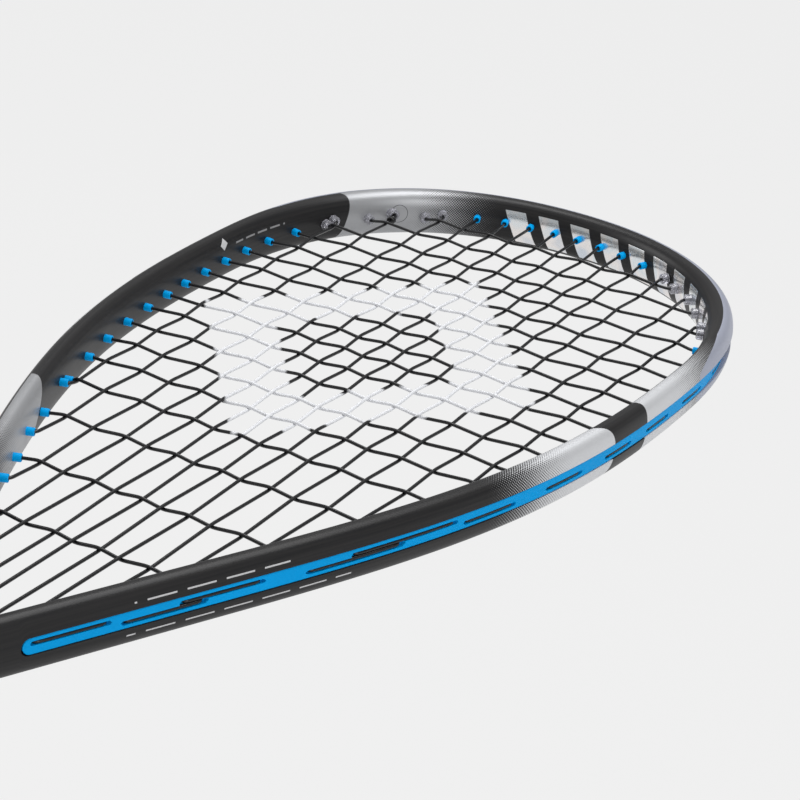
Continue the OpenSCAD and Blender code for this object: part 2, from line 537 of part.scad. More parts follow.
module rubber_collar() color([0.04, 0.04, 0.04]) difference() {
    loft([[collar_y0, collar_in_w + collar_t*0.6, collar_in_d + collar_t*0.6],
          [collar_y0 + 2, collar_in_w + collar_t, collar_in_d + collar_t],
          [grip_end + 0.5, collar_in_w + collar_t, collar_in_d + collar_t],
          [grip_end + 5, collar_in_w - 0.6, collar_in_d - 0.6],
          [collar_y0 + collar_l - 1, shaft_w/2 + collar_t + 0.6, shaft_d/2 + collar_t + 0.6],
          [collar_y0 + collar_l, shaft_w/2 + collar_t, shaft_d/2 + collar_t]], grip_power, 32);
    prism(collar_in_w, collar_in_d, grip_power, 40, collar_y0 - 1, grip_end);
    prism(shaft_w/2 + snug, shaft_d/2 + snug, edge_power, 24, grip_end - 1, collar_y0 + collar_l + 1);
}

frame();
foam_insert_left();
foam_insert_right();
side_grommet_strip_left();
side_grommet_strip_right();
shoulder_grommet_left();
shoulder_grommet_right();
tip_grommet_strip();
throat_grommet();
string();
tip_tie_knot();
throat_tie_knot();
handle_shell_left();
handle_shell_right();
butt_cap();
butt_badge();
cap_staples();
grip();
grip_tack();
finishing_tape();
rubber_collar();
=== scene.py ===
"""Squash racket: the finished surfaces and finishes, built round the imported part.

Shapes are worked out in millimetres and put into meshes in metres, in the part's own frame:
the butt's flat end is at the origin, +Y runs to the tip, and the strings lie in the plane z = 0.
"""

import logging
from dataclasses import dataclass, field
from enum import Enum
from typing import Callable, Optional, Sequence, Union

import bmesh
import bpy
import numpy as np
from mathutils import Matrix, Vector


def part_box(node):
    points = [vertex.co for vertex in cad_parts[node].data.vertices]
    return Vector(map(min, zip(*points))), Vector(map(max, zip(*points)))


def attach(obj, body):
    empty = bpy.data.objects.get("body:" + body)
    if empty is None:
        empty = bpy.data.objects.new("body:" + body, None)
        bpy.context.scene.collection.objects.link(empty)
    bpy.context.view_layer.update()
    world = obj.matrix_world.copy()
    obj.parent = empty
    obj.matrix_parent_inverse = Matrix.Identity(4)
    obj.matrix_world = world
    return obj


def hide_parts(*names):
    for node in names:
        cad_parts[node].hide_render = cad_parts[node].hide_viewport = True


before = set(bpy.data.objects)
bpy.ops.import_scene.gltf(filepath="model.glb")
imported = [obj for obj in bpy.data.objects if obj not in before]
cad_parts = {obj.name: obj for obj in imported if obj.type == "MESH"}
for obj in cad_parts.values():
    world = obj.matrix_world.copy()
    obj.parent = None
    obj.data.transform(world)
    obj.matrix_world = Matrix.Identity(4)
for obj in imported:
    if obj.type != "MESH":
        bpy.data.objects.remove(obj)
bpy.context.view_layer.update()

MM = 0.001
LOG = logging.getLogger("squash_racket")
Array = np.ndarray


class Slot(Enum):
    """The record's material slots."""

    PAINT = "frame_paint"
    FOAM = "foam"
    BLUE = "blue_plastic"
    CLEAR = "clear_plastic"
    STRING = "string"
    HANDLE = "handle_foam"
    CAP = "cap_plastic"
    BADGE = "badge"
    STEEL = "steel"
    GRIP = "grip_wrap"
    TAPE = "tape"
    COLLAR = "collar_rubber"


class Side(Enum):
    """The two halves of the racket, as the sign of x."""

    LEFT = -1
    RIGHT = 1


# ---------------------------------------------------------------------------------------------
# Surfaces as grids of points
# ---------------------------------------------------------------------------------------------


@dataclass
class Skin:
    """Quads on a set of points, with a run coordinate and an outer-ness for each corner.

    points is (n, 3) in millimetres. quads is (m, 4). run is (m, 4, 2) in millimetres: the way along
    the piece and the way round it. outer is (n,): -1 on a tube's inner side, +1 on its outer side.
    """

    points: Array
    quads: Array
    run: Array
    outer: Array

    @staticmethod
    def grid(points: Array, along: Array, around: Array, outer: Optional[Array] = None) -> "Skin":
        """Joins a grid of points by quads: each row to the next, and the last column to the first.

        Args:
            points: (rows, columns, 3) array of points.
            along: run coordinate of each row.
            around: run coordinate of each column, and of the first again when it is reached.
            outer: (rows, columns) outer-ness, or None for zero.

        Returns:
            The skin, facing as the cross product of the row and column directions.
        """
        rows, columns = points.shape[:2]
        r, c = (k.ravel() for k in np.meshgrid(np.arange(rows - 1), np.arange(columns), indexing="ij"))
        after = (c + 1) % columns
        quads = np.stack([r * columns + c, (r + 1) * columns + c,
                          (r + 1) * columns + after, r * columns + after], 1)
        run = np.stack([np.stack([along[r + down], around[c + right]], 1)
                        for down, right in ((0, 0), (1, 0), (1, 1), (0, 1))], 1)
        level = np.zeros((rows, columns)) if outer is None else outer
        return Skin(points.reshape(-1, 3), quads, run, level.ravel())

    @staticmethod
    def tube(points: Array, along: Array, around: Array, outer: Optional[Array] = None) -> "Skin":
        """A closed tube: a grid closed round its section, with each end drawn in to its middle.

        Args:
            points: (rings, points in a ring, 3) array.
            along: run coordinate of each ring.
            around: run coordinate round the ring, one longer than the ring.
            outer: (rings, points in a ring) outer-ness.

        Returns:
            The closed skin, facing outwards.
        """
        first = np.repeat(points[:1].mean(1, keepdims=True), points.shape[1], 1)
        last = np.repeat(points[-1:].mean(1, keepdims=True), points.shape[1], 1)
        level = np.zeros(points.shape[:2]) if outer is None else outer
        level = np.concatenate([level[:1], level, level[-1:]])
        along = np.concatenate([along[:1], along, along[-1:]])
        return Skin.grid(np.concatenate([first, points, last]), along, around, level).facing_out()

    @staticmethod
    def ring(points: Array, along: Array, around: Array) -> "Skin":
        """A tube that closes on itself: the last ring joins the first.

        Args:
            points: (rings, points in a ring, 3) array.
            along: run coordinate of each ring, one longer than the rings.
            around: run coordinate round the ring, one longer than the ring.

        Returns:
            The closed skin, facing outwards.
        """
        looped = np.concatenate([points, points[:1]])
        return Skin.grid(looped, along, around).facing_out()

    def facing_out(self) -> "Skin":
        """Turns the quads round if the volume that they enclose is negative.

        Returns:
            This skin, or a copy with its faces turned round.
        """
        a, b, c, d = (self.points[self.quads[:, k]] for k in range(4))
        volume = np.einsum("ij,ij->", a, np.cross(b, c)) + np.einsum("ij,ij->", a, np.cross(c, d))
        if volume < 0:
            return Skin(self.points, self.quads[:, ::-1].copy(), self.run[:, ::-1].copy(), self.outer)
        return self

    @staticmethod
    def joined(skins: Sequence["Skin"]) -> "Skin":
        """Puts several skins in one, with no point shared.

        Args:
            skins: the skins, in the order in which they are put.

        Returns:
            One skin that holds them all.
        """
        starts = np.cumsum([0] + [len(s.points) for s in skins[:-1]])
        return Skin(np.concatenate([s.points for s in skins]),
                    np.concatenate([s.quads + start for s, start in zip(skins, starts)]),
                    np.concatenate([s.run for s in skins]),
                    np.concatenate([s.outer for s in skins]))


def add_piece(name: str, skin: Skin, crease_deg: float = 32.0) -> bpy.types.Object:
    """Makes a mesh object of a skin.

    Args:
        name: the object's name.
        skin: the surface, in millimetres.
        crease_deg: edges sharper than this angle are drawn sharp.

    Returns:
        The new object, at the origin, with its UV map "Run" and its attribute "outer".
    """
    mesh = bpy.data.meshes.new(name)
    mesh.vertices.add(len(skin.points))
    mesh.vertices.foreach_set("co", (skin.points * MM).astype(np.float32).ravel())
    mesh.loops.add(skin.quads.size)
    mesh.loops.foreach_set("vertex_index", skin.quads.astype(np.int32).ravel())
    mesh.polygons.add(len(skin.quads))
    mesh.polygons.foreach_set("loop_start", np.arange(0, skin.quads.size, 4, dtype=np.int32))
    mesh.update(calc_edges=True)
    run = mesh.uv_layers.new(name="Run")
    run.data.foreach_set("uv", (skin.run * MM).astype(np.float32).ravel())
    outer = mesh.attributes.new("outer", "FLOAT", "POINT")
    outer.data.foreach_set("value", skin.outer.astype(np.float32))
    close_seams(mesh)
    mesh.polygons.foreach_set("use_smooth", np.ones(len(mesh.polygons), bool))
    mesh.set_sharp_from_angle(angle=np.radians(crease_deg))
    piece = bpy.data.objects.new(name, mesh)
    bpy.context.scene.collection.objects.link(piece)
    return piece


def close_seams(mesh: bpy.types.Mesh, reach: float = 1e-7) -> None:
    """Merges points that lie on each other, and drops the faces that this leaves without an area.

    Args:
        mesh: the mesh, changed in place.
        reach: points closer than this, in metres, become one.
    """
    made = bmesh.new()
    made.from_mesh(mesh)
    bmesh.ops.remove_doubles(made, verts=made.verts, dist=reach)
    bmesh.ops.dissolve_degenerate(made, edges=made.edges, dist=reach)
    made.to_mesh(mesh)
    made.free()


def unit(v: Array) -> Array:
    """Scales each vector of an array to length 1."""
    return v / np.linalg.norm(v, axis=-1, keepdims=True)


def smooth_step(x: Array, low: float, high: float) -> Array:
    """0 below low, 1 above high, and a smooth cubic between."""
    t = np.clip((x - low) / (high - low), 0, 1)
    return t * t * (3 - 2 * t)


def superellipse(a: float, b: float, power: float, turn: Array) -> tuple[Array, Array]:
    """Points of a superellipse: each axis is a signed power of the cosine or the sine.

    Args:
        a: half the width.
        b: half the height.
        power: 2 for an ellipse, more for a squarer shape.
        turn: angles in radians.

    Returns:
        The two coordinates.
    """
    c, s = np.cos(turn), np.sin(turn)
    return (a * np.sign(c) * np.abs(c) ** (2 / power), b * np.sign(s) * np.abs(s) ** (2 / power))


def lengths_round(x: Array, y: Array) -> Array:
    """The distance run round a closed outline, at each of its points and back at the first."""
    steps = np.hypot(np.diff(np.append(x, x[:1])), np.diff(np.append(y, y[:1])))
    return np.concatenate([[0], np.cumsum(steps)])


def rounded_corners(path: Array, trim: float, parts: int = 4) -> Array:
    """Rounds each corner of a path with a quadratic curve that starts and ends trim away from it.

    Args:
        path: (n, 3) array of corners.
        trim: how far from the corner the curve starts, at most 0.42 of each side.
        parts: points on each curve.

    Returns:
        The new points, with both ends of the path kept.
    """
    before, corner, after = path[:-2], path[1:-1], path[2:]
    back, ahead = before - corner, after - corner
    near = np.minimum(trim, 0.42 * np.linalg.norm(back, axis=1))[:, None]
    far = np.minimum(trim, 0.42 * np.linalg.norm(ahead, axis=1))[:, None]
    start, end = corner + unit(back) * near, corner + unit(ahead) * far
    t = np.linspace(0, 1, parts)[None, :, None]
    bend = (1 - t) ** 2 * start[:, None] + 2 * t * (1 - t) * corner[:, None] + t * t * end[:, None]
    return np.concatenate([path[:1], bend.reshape(-1, 3), path[-1:]])


def cord_skin(path: Array, radius: float, sides: int) -> Skin:
    """A round section carried along a path that nowhere runs straight up.

    At each point the section's first axis is square to the path and to z, and the second to both.

    Args:
        path: (n, 3) array of points.
        radius: the cord's radius.
        sides: points round the section.

    Returns:
        The closed skin.
    """
    ahead = unit(np.diff(path, axis=0))
    way = unit(np.concatenate([ahead[:1], ahead[:-1] + ahead[1:], ahead[-1:]]))
    first = unit(np.cross([0.0, 0.0, 1.0], way))
    second = np.cross(way, first)
    turn = np.linspace(0, 2 * np.pi, sides, endpoint=False)
    points = path[:, None] + radius * (np.cos(turn)[None, :, None] * first[:, None]
                                       + np.sin(turn)[None, :, None] * second[:, None])
    along = np.concatenate([[0], np.cumsum(np.linalg.norm(np.diff(path, axis=0), axis=1))])
    return Skin.tube(points, along, np.linspace(0, 2 * np.pi * radius, sides + 1))


def turned(profile: Array, base: Array, axis: Array, sides: int = 24) -> Skin:
    """A closed profile turned round an axis.

    Args:
        profile: (n, 2) array of radius and height, a closed outline that stays off the axis.
        base: the point on the axis at height zero.
        axis: the axis's direction.
        sides: points round the axis.

    Returns:
        The closed ring-shaped skin.
    """
    axis = unit(np.asarray(axis, float))
    helper = np.array([0.0, 0.0, 1.0]) if abs(axis[2]) < 0.9 else np.array([1.0, 0.0, 0.0])
    first = unit(np.cross(helper, axis))
    second = np.cross(axis, first)
    turn = np.linspace(0, 2 * np.pi, sides, endpoint=False)
    spoke = np.cos(turn)[:, None] * first + np.sin(turn)[:, None] * second
    points = (np.asarray(base, float) + profile[None, :, :1] * spoke[:, None]
              + profile[None, :, 1:] * axis[None, None])
    around = lengths_round(profile[:, 0], profile[:, 1])
    return Skin.ring(points, np.linspace(0, 2 * np.pi, sides + 1) * profile[:, 0].mean(), around)


def surface_net(field_of: Callable[[Array], Array], low: Array, high: Array, step: float) -> Skin:
    """Covers the zero level of a distance-like function with quads.

    Each grid cell that the level passes through gets one point, the mean of its edges' crossings,
    and each grid edge that crosses the level joins the four cells round it by a quad. The points are
    then moved onto the level by a few steps along the function's slope.

    Args:
        field_of: function of an (..., 3) array of points, negative inside.
        low: lowest corner of the grid.
        high: highest corner of the grid.
        step: cell size.

    Returns:
        The closed skin, with no run or outer-ness yet.
    """
    counts = np.ceil((high - low) / step).astype(int) + 1
    axes = [low[k] + step * np.arange(counts[k]) for k in range(3)]
    nodes = np.stack(np.meshgrid(*axes, indexing="ij"), -1)
    value = field_of(nodes)
    cells = np.array(counts) - 1
    total = np.zeros((int(np.prod(cells)), 3))
    hits = np.zeros(int(np.prod(cells)))
    strides = np.array([cells[1] * cells[2], cells[2], 1])
    faces = []
    for k in range(3):
        here, there = [slice(None)] * 3, [slice(None)] * 3
        here[k], there[k] = slice(0, -1), slice(1, None)
        a, b = value[tuple(here)], value[tuple(there)]
        i = np.argwhere((a < 0) != (b < 0))
        p, q = (k + 1) % 3, (k + 2) % 3
        i = i[(i[:, p] > 0) & (i[:, p] < cells[p]) & (i[:, q] > 0) & (i[:, q] < cells[q])]
        va, vb = a[tuple(i.T)], b[tuple(i.T)]
        spot = nodes[tuple(i.T)].copy()
        spot[:, k] += step * va / (va - vb)
        corners = []
        for dp, dq in ((1, 1), (0, 1), (0, 0), (1, 0)):
            cell = i.copy()
            cell[:, p] -= dp
            cell[:, q] -= dq
            flat = cell @ strides
            np.add.at(total, flat, spot)
            np.add.at(hits, flat, 1)
            corners.append(flat)
        quad = np.stack(corners, 1)
        faces.append(np.where((va < 0)[:, None], quad, quad[:, ::-1]))
    quads = np.concatenate(faces)
    used, index = np.unique(quads, return_inverse=True)
    points = total[used] / hits[used][:, None]
    nudge, least_slope, reach, passes = 0.05, 0.05, 0.4, 4
    for _ in range(passes):
        slope = np.stack([(field_of(points + nudge * e) - field_of(points - nudge * e)) / (2 * nudge)
                          for e in np.eye(3)], -1)
        size = np.maximum((slope ** 2).sum(-1), least_slope)
        points = points - np.clip(field_of(points) / size, -reach, reach)[:, None] * slope
    quads = index.reshape(quads.shape)
    return Skin(points, quads, np.zeros(quads.shape + (2,)), np.zeros(len(points))).facing_out()


# ---------------------------------------------------------------------------------------------
# Shader maths
# ---------------------------------------------------------------------------------------------

Value = Union["Wire", float]


class Shader:
    """A material's node tree, with one method that adds any node."""

    def __init__(self, name: str) -> None:
        """Starts a material that holds one Principled shader."""
        self.material = bpy.data.materials.new(name)
        self.material.use_nodes = True
        self.tree = self.material.node_tree
        self.surface = self.tree.nodes["Principled BSDF"]

    def node(self, kind: str, settings: Optional[dict] = None, out: Union[int, str] = 0,
             **sockets: object) -> "Wire":
        """Adds a node.

        Args:
            kind: the node's type, such as "ShaderNodeMath".
            settings: attributes set before the sockets; "stops" fills a colour ramp.
            out: the output that is returned.
            **sockets: values or wires for the inputs: a name with _ for spaces, or i0, i1 by place.

        Returns:
            The chosen output.
        """
        made = self.tree.nodes.new(kind)
        for key, setting in (settings or {}).items():
            if key == "stops":
                ramp = made.color_ramp
                while len(ramp.elements) < len(setting):
                    ramp.elements.new(1.0)
                for element, (place, colour) in zip(ramp.elements, setting):
                    element.position = place
                    element.color = (*colour, 1.0)
            else:
                setattr(made, key, setting)
        for key, given in sockets.items():
            by_place = key[0] == "i" and key[1:].isdigit()
            socket = made.inputs[int(key[1:])] if by_place else made.inputs[key.replace("_", " ")]
            self.feed(socket, given)
        return Wire(self, made.outputs[out])

    def feed(self, socket: bpy.types.NodeSocket, given: object) -> None:
        """Links a wire to an input, or sets its value.

        Args:
            socket: the input.
            given: a wire, a number, a vector or a colour.
        """
        if isinstance(given, Wire):
            self.tree.links.new(given.socket, socket)
        elif isinstance(given, (tuple, list)) and len(given) == 3 and socket.type == "RGBA":
            socket.default_value = (*given, 1.0)
        else:
            socket.default_value = given

    def set(self, **sockets: object) -> None:
        """Feeds the Principled shader's inputs, by name with _ for spaces."""
        for key, given in sockets.items():
            self.feed(self.surface.inputs[key.replace("_", " ")], given)

    def place(self) -> tuple["Wire", "Wire", "Wire"]:
        """Object coordinates in millimetres, as three values."""
        split = self.node("ShaderNodeSeparateXYZ", i0=self.spot())
        return tuple(Wire(self, split.socket.node.outputs[k]) * (1 / MM) for k in range(3))

    def spot(self) -> "Wire":
        """Object coordinates, as a vector in metres."""
        return self.node("ShaderNodeTexCoord", out="Object")

    def run(self) -> tuple["Wire", "Wire"]:
        """The way along the piece and the way round it, in millimetres."""
        split = self.node("ShaderNodeSeparateXYZ", i0=self.node("ShaderNodeUVMap", {"uv_map": "Run"}))
        return tuple(Wire(self, split.socket.node.outputs[k]) * (1 / MM) for k in range(2))

    def noise(self, scale: float, detail: float) -> "Wire":
        """Cloudy noise from 0 to 1; scale is in waves per metre."""
        return self.node("ShaderNodeTexNoise", Vector=self.spot(), Scale=scale, Detail=detail)

    def mix(self, share: Value, low: object, high: object) -> "Wire":
        """Blends two colours by a share from 0 to 1.

        Args:
            share: how much of the second colour there is.
            low: the colour at 0.
            high: the colour at 1.

        Returns:
            The blended colour.
        """
        made = self.tree.nodes.new("ShaderNodeMix")
        made.data_type = "RGBA"
        self.feed(made.inputs[0], share)
        self.feed(made.inputs[6], low)
        self.feed(made.inputs[7], high)
        return Wire(self, made.outputs[2])

    def bump(self, height: "Wire", depth_mm: float, strength: float) -> "Wire":
        """A normal from a height of 0 to 1 that stands for depth_mm."""
        return self.node("ShaderNodeBump", Height=height, Distance=depth_mm * MM, Strength=strength)


class Wire:
    """An output socket that can be used in arithmetic."""

    def __init__(self, shader: Shader, socket: bpy.types.NodeSocket) -> None:
        """Wraps a socket of a shader."""
        self.shader = shader
        self.socket = socket

    def _math(self, operation: str, *values: Value) -> "Wire":
        """Adds a Math node."""
        inputs = {f"i{k}": value for k, value in enumerate(values)}
        return self.shader.node("ShaderNodeMath", {"operation": operation}, **inputs)

    def __add__(self, other: Value) -> "Wire":
        """The sum."""
        return self._math("ADD", self, other)

    __radd__ = __add__

    def __sub__(self, other: Value) -> "Wire":
        """The difference."""
        return self._math("SUBTRACT", self, other)

    def __rsub__(self, other: Value) -> "Wire":
        """The difference from a number."""
        return self._math("SUBTRACT", other, self)

    def __mul__(self, other: Value) -> "Wire":
        """The product."""
        return self._math("MULTIPLY", self, other)

    __rmul__ = __mul__

    def __truediv__(self, other: Value) -> "Wire":
        """The quotient."""
        return self._math("DIVIDE", self, other)

    def __pow__(self, other: Value) -> "Wire":
        """The power."""
        return self._math("POWER", self, other)

    def __abs__(self) -> "Wire":
        """The size without its sign."""
        return self._math("ABSOLUTE", self)

    def cos(self) -> "Wire":
        """The cosine of an angle in radians."""
        return self._math("COSINE", self)

    def fraction(self) -> "Wire":
        """What is left above the whole number below."""
        return self._math("FRACT", self)

    def clamped(self) -> "Wire":
        """The value held between 0 and 1."""
        return self._math("MINIMUM", self._math("MAXIMUM", self, 0.0), 1.0)

    def above(self, edge: Value, soft: float = 0.06) -> "Wire":
        """1 above an edge and 0 below it, over a width of soft."""
        return ((self - edge) / soft + 0.5).clamped()

    def below(self, edge: Value, soft: float = 0.06) -> "Wire":
        """1 below an edge and 0 above it, over a width of soft."""
        return ((edge - self) / soft + 0.5).clamped()

    def between(self, low: Value, high: Value, soft: float = 0.06) -> "Wire":
        """1 between two edges, and 0 outside them."""
        return self.above(low, soft) * self.below(high, soft)

    def ramp(self, low: float, high: float) -> "Wire":
        """Rises from 0 at low to 1 at high, or falls when low is above high."""
        return ((self - low) * (1 / (high - low))).clamped()


# ---------------------------------------------------------------------------------------------
# The hoop's line and the string's holes
# ---------------------------------------------------------------------------------------------


@dataclass
class Hoop:
    """The line of the hoop's inner wall, from the tip down both arms to where they meet.

    Each half is two cubic curves, from the tip to the widest point and on to the straight arm.
    A place on it is s, the distance from the tip: negative on the left.
    """

    beam_w: float = 8.2
    beam_d: float = 18.0
    tip_flare: float = 2.6
    head_l: float = 398.0
    widest_from_tip: float = 104.0
    crown_reach: float = 54.5
    shoulder_reach: float = 63.5
    flank_reach: float = 79.5
    arm_reach: float = 88.0
    arm_rise: float = 92.0
    arm_angle: float = 24.6
    flare_rise: float = 0.63
    edge_power: float = 2.5
    samples: int = 9001
    head_w: float = field(init=False)
    y_tip: float = field(init=False)
    y_meet: float = field(init=False)

    def __post_init__(self) -> None:
        """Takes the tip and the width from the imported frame, and measures the line."""
        low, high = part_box("frame")
        self.y_tip = high.y / MM - self.beam_w - self.tip_flare
        self.head_w = (high.x - low.x) / MM - 2 * self.beam_w
        self.y_meet = self.y_tip - self.head_l
        self.u = np.linspace(0, 3, self.samples)
        self.line = self.wall(self.u)
        self.way = unit(np.gradient(self.line, axis=0))
        self.normal = np.stack([-self.way[:, 1], self.way[:, 0]], 1)
        self.length = np.concatenate([[0], np.cumsum(np.linalg.norm(np.diff(self.line, axis=0), axis=1))])

    def wall(self, u: Array) -> Array:
        """The inner wall of the right half; u is 0 at the tip, 1 widest, 2 at the arm, 3 at the meeting.

        Args:
            u: places along the half outline.

        Returns:
            A row of x and y for each place.
        """
        slant = np.radians(self.arm_angle)
        y_widest, half = self.y_tip - self.widest_from_tip, self.head_w / 2
        down = np.array([-np.sin(slant), -np.cos(slant)])
        top = np.array([self.arm_rise * np.tan(slant), self.y_meet + self.arm_rise])
        crown = np.array([[0, self.y_tip], [self.crown_reach, self.y_tip],
                          [half, y_widest + self.shoulder_reach], [half, y_widest]])
        flank = np.array([[half, y_widest], [half, y_widest - self.flank_reach],
                          top - self.arm_reach * down, top])

        def cubic(p: Array, t: Array) -> Array:
            """A cubic curve with four control points, at t from 0 to 1."""
            t = np.clip(t, 0, 1)[:, None]
            return ((1 - t) ** 3 * p[0] + 3 * (1 - t) ** 2 * t * p[1]
                    + 3 * (1 - t) * t * t * p[2] + t ** 3 * p[3])

        arm = top + (u[:, None] - 2) * self.arm_rise / np.cos(slant) * down
        near = np.where(u[:, None] <= 1, cubic(crown, u), cubic(flank, u - 1))
        return np.where(u[:, None] <= 2, near, arm)

    def s_at(self, u: float) -> float:
        """The distance from the tip at a value of u."""
        return float(np.interp(u, self.u, self.length))

    def place(self, s: Array, n: Array, z: Array) -> Array:
        """Points n outwards from the inner wall and z above the string plane, at distances s.

        Args:
            s: distances from the tip, below 0 on the left.
            n: distances outwards from the inner wall.
            z: heights above the string plane.

        Returns:
            The points, in the shape that the three arrays share.
        """
        s, n, z = np.broadcast_arrays(*(np.asarray(v, float) for v in (s, n, z)))
        run = np.abs(s)
        side = np.where(s < 0, -1.0, 1.0)
        x, y = (np.interp(run, self.length, self.line[:, k]) for k in range(2))
        nx, ny = (np.interp(run, self.length, self.normal[:, k]) for k in range(2))
        return np.stack([side * (x + n * nx), y + n * ny, z], -1)

    def s_where_x(self, x: float) -> float:
        """The distance from the tip at which the crown's inner wall passes a place x."""
        crown = self.u <= 1
        return float(np.interp(abs(x), self.line[crown, 0], self.length[crown]))

    def grow(self, s: Array) -> Array:
        """How many times its own width the tube is: 1 up to the widest point, more at the tip."""
        y = np.interp(np.abs(s), self.length, self.line[:, 1])
        y_widest = self.y_tip - self.widest_from_tip
        share = smooth_step(y, y_widest, y_widest + self.flare_rise * self.widest_from_tip)
        return 1 + share * self.tip_flare / self.beam_w

    def half_section(self, z: Array) -> Array:
        """How far outwards the tube's outer face stands at a height z."""
        half = self.beam_w / 2
        flat = np.clip(1 - (np.abs(z) / (self.beam_d / 2)) ** self.edge_power, 0, 1)
        return half + half * flat ** (1 / self.edge_power)


@dataclass
class StringPlan:
    """Where the one string runs: 14 mains and 18 crosses, woven, with its loops along the outside."""

    hoop: Hoop
    diameter: float = 1.15
    weave_gap: float = 0.1
    first_cross: float = 20.3
    gaps: tuple[float, ...] = (17, 17, 15, 15, 14, 14, 14, 14, 13, 14, 15, 16, 16, 19, 24, 30, 32)
    tip_x: tuple[float, ...] = (5, 15, 25, 35.5, 47.5, 63, 78)
    throat_x: tuple[float, ...] = (4, 12, 21, 30.5, 40.5, 52, 63)
    proud: float = 2.7
    bend_gap: float = 0.3
    floor_rise: float = 15.5
    saddle_h: float = 5.0
    tie_gap: float = 5.2
    tie_main: int = 2
    loop_n: float = 7.23
    last_u: float = 2.95
    saddle_clear: float = 0.25
    side_by_side: float = 0.05
    clear_below: float = 1.2
    clear_above: float = 1.5
    loop_step: float = 4.0

    def __post_init__(self) -> None:
        """Finds the holes in the wall."""
        self.crosses = len(self.gaps) + 1
        self.half = len(self.tip_x)
        self.weave = (self.diameter + self.weave_gap) / 2
        self.cross_y = self.hoop.y_tip - self.first_cross - np.cumsum((0,) + self.gaps)
        hoop = self.hoop
        mouth = hoop.line - self.proud * hoop.normal
        crown, lower = hoop.u <= 1, (hoop.u > 1) & (hoop.u < self.last_u)
        self.tip_s = np.array([self.crossing(mouth, crown, k) for k in range(self.half)])
        self.throat_s = np.array([self.crossing(mouth, lower, k) for k in range(self.half)])
        self.cross_s = np.interp(-self.cross_y, -mouth[:, 1], hoop.length)
        self.tie_s = self.throat_s[self.tie_main] - self.tie_gap
        floor_y = hoop.y_meet + self.floor_rise
        self.saddle_top = floor_y + self.saddle_h
        self.saddle_turn = floor_y + self.saddle_clear + self.diameter / 2
        self.big = self.half - 2
        self.tie_shift = (self.diameter + self.side_by_side) / 2

    def main_x(self, k: int, y: Array) -> Array:
        """Place across of main k, counted from the middle, at a height y."""
        share = (y - self.cross_y[-1]) / (self.cross_y[0] - self.cross_y[-1])
        return self.throat_x[k] + (self.tip_x[k] - self.throat_x[k]) * share

    def crossing(self, mouth: Array, part: Array, k: int) -> float:
        """The distance from the tip at which main k meets the line of the barrels' mouths.

        Args:
            mouth: points along the barrels' mouths, from the tip down.
            part: which of those points are searched.
            k: the main's rank from the middle.

        Returns:
            The distance from the tip.
        """
        miss = mouth[part, 0] - self.main_x(k, mouth[part, 1])
        i = int(np.argmax(np.sign(miss[1:]) != np.sign(miss[:-1])))
        share = miss[i] / (miss[i] - miss[i + 1])
        run = self.hoop.length[part]
        return float(run[i] + share * (run[i + 1] - run[i]))

    def tip_place(self, i: int) -> float:
        """Signed s of main i's hole at the tip; mains count from 1 at the far left."""
        side, k = self.who(i)
        shift = self.tie_shift if side < 0 and k == self.big else 0.0
        return side * (self.tip_s[k] - shift)

    def who(self, i: int) -> tuple[int, int]:
        """The side of main i, and its rank from the middle."""
        return (1, i - self.half - 1) if i > self.half else (-1, self.half - i)

    def meets(self, i: int, j: int) -> bool:
        """Whether main i reaches cross j."""
        k = self.who(i)[1]
        top = self.hoop.place(self.tip_place(i), -self.proud, 0)[1]
        bottom = self.saddle_top if k == 0 else self.hoop.place(self.throat_s[k], -self.proud, 0)[1]
        return bottom + self.clear_below < self.cross_y[j - 1] < top - self.clear_above

    def main_up(self, i: int) -> Array:
        """Main i's corners from the throat up to the tip, with a corner at each cross.

        Args:
            i: the main's number.

        Returns:
            Its corners, in order.
        """
        side, k = self.who(i)
        bend, out, z = -self.proud - self.bend_gap, self.loop_n, self.weave
        if k == 0:
            x = side * self.main_x(0, self.saddle_top)
            start = [[x, self.saddle_turn, z], [x, self.saddle_top, z]]
        else:
            start = self.hoop.place(side * self.throat_s[k], [out, bend], z)
        js = [j for j in range(self.crosses, 0, -1) if self.meets(i, j)]
        y = self.cross_y[np.array(js) - 1]
        over = np.where((i + np.array(js)) % 2 == 1, 1.0, -1.0)
        woven = np.stack([side * self.main_x(k, y), y, z * over], 1)
        return np.concatenate([start, woven, self.hoop.place(self.tip_place(i), [bend, out], z)])

    def cross_right(self, j: int) -> Array:
        """Cross j's corners from left to right, with a corner at each main.

        Args:
            j: the cross's number, from 1 at the tip.

        Returns:
            Its corners, in order.
        """
        bend, out, z = -self.proud - self.bend_gap, self.loop_n, self.weave
        s, y = self.cross_s[j - 1], self.cross_y[j - 1]
        woven = [(side * self.main_x(k, y), y, z if (i + j) % 2 == 0 else -z)
                 for i in range(1, 2 * self.half + 1) if self.meets(i, j) for side, k in [self.who(i)]]
        return np.concatenate([self.hoop.place(-s, [out, bend], -z), np.array(woven),
                               self.hoop.place(s, [bend, out], -z)])

    def loop(self, s: float, t: float, z: float) -> Array:
        """Corners of a loop along the outside of the hoop, between two holes."""
        between = np.linspace(s, t, max(3, int(abs(t - s) / self.loop_step)))[1:-1]
        return self.hoop.place(between, self.loop_n, z)

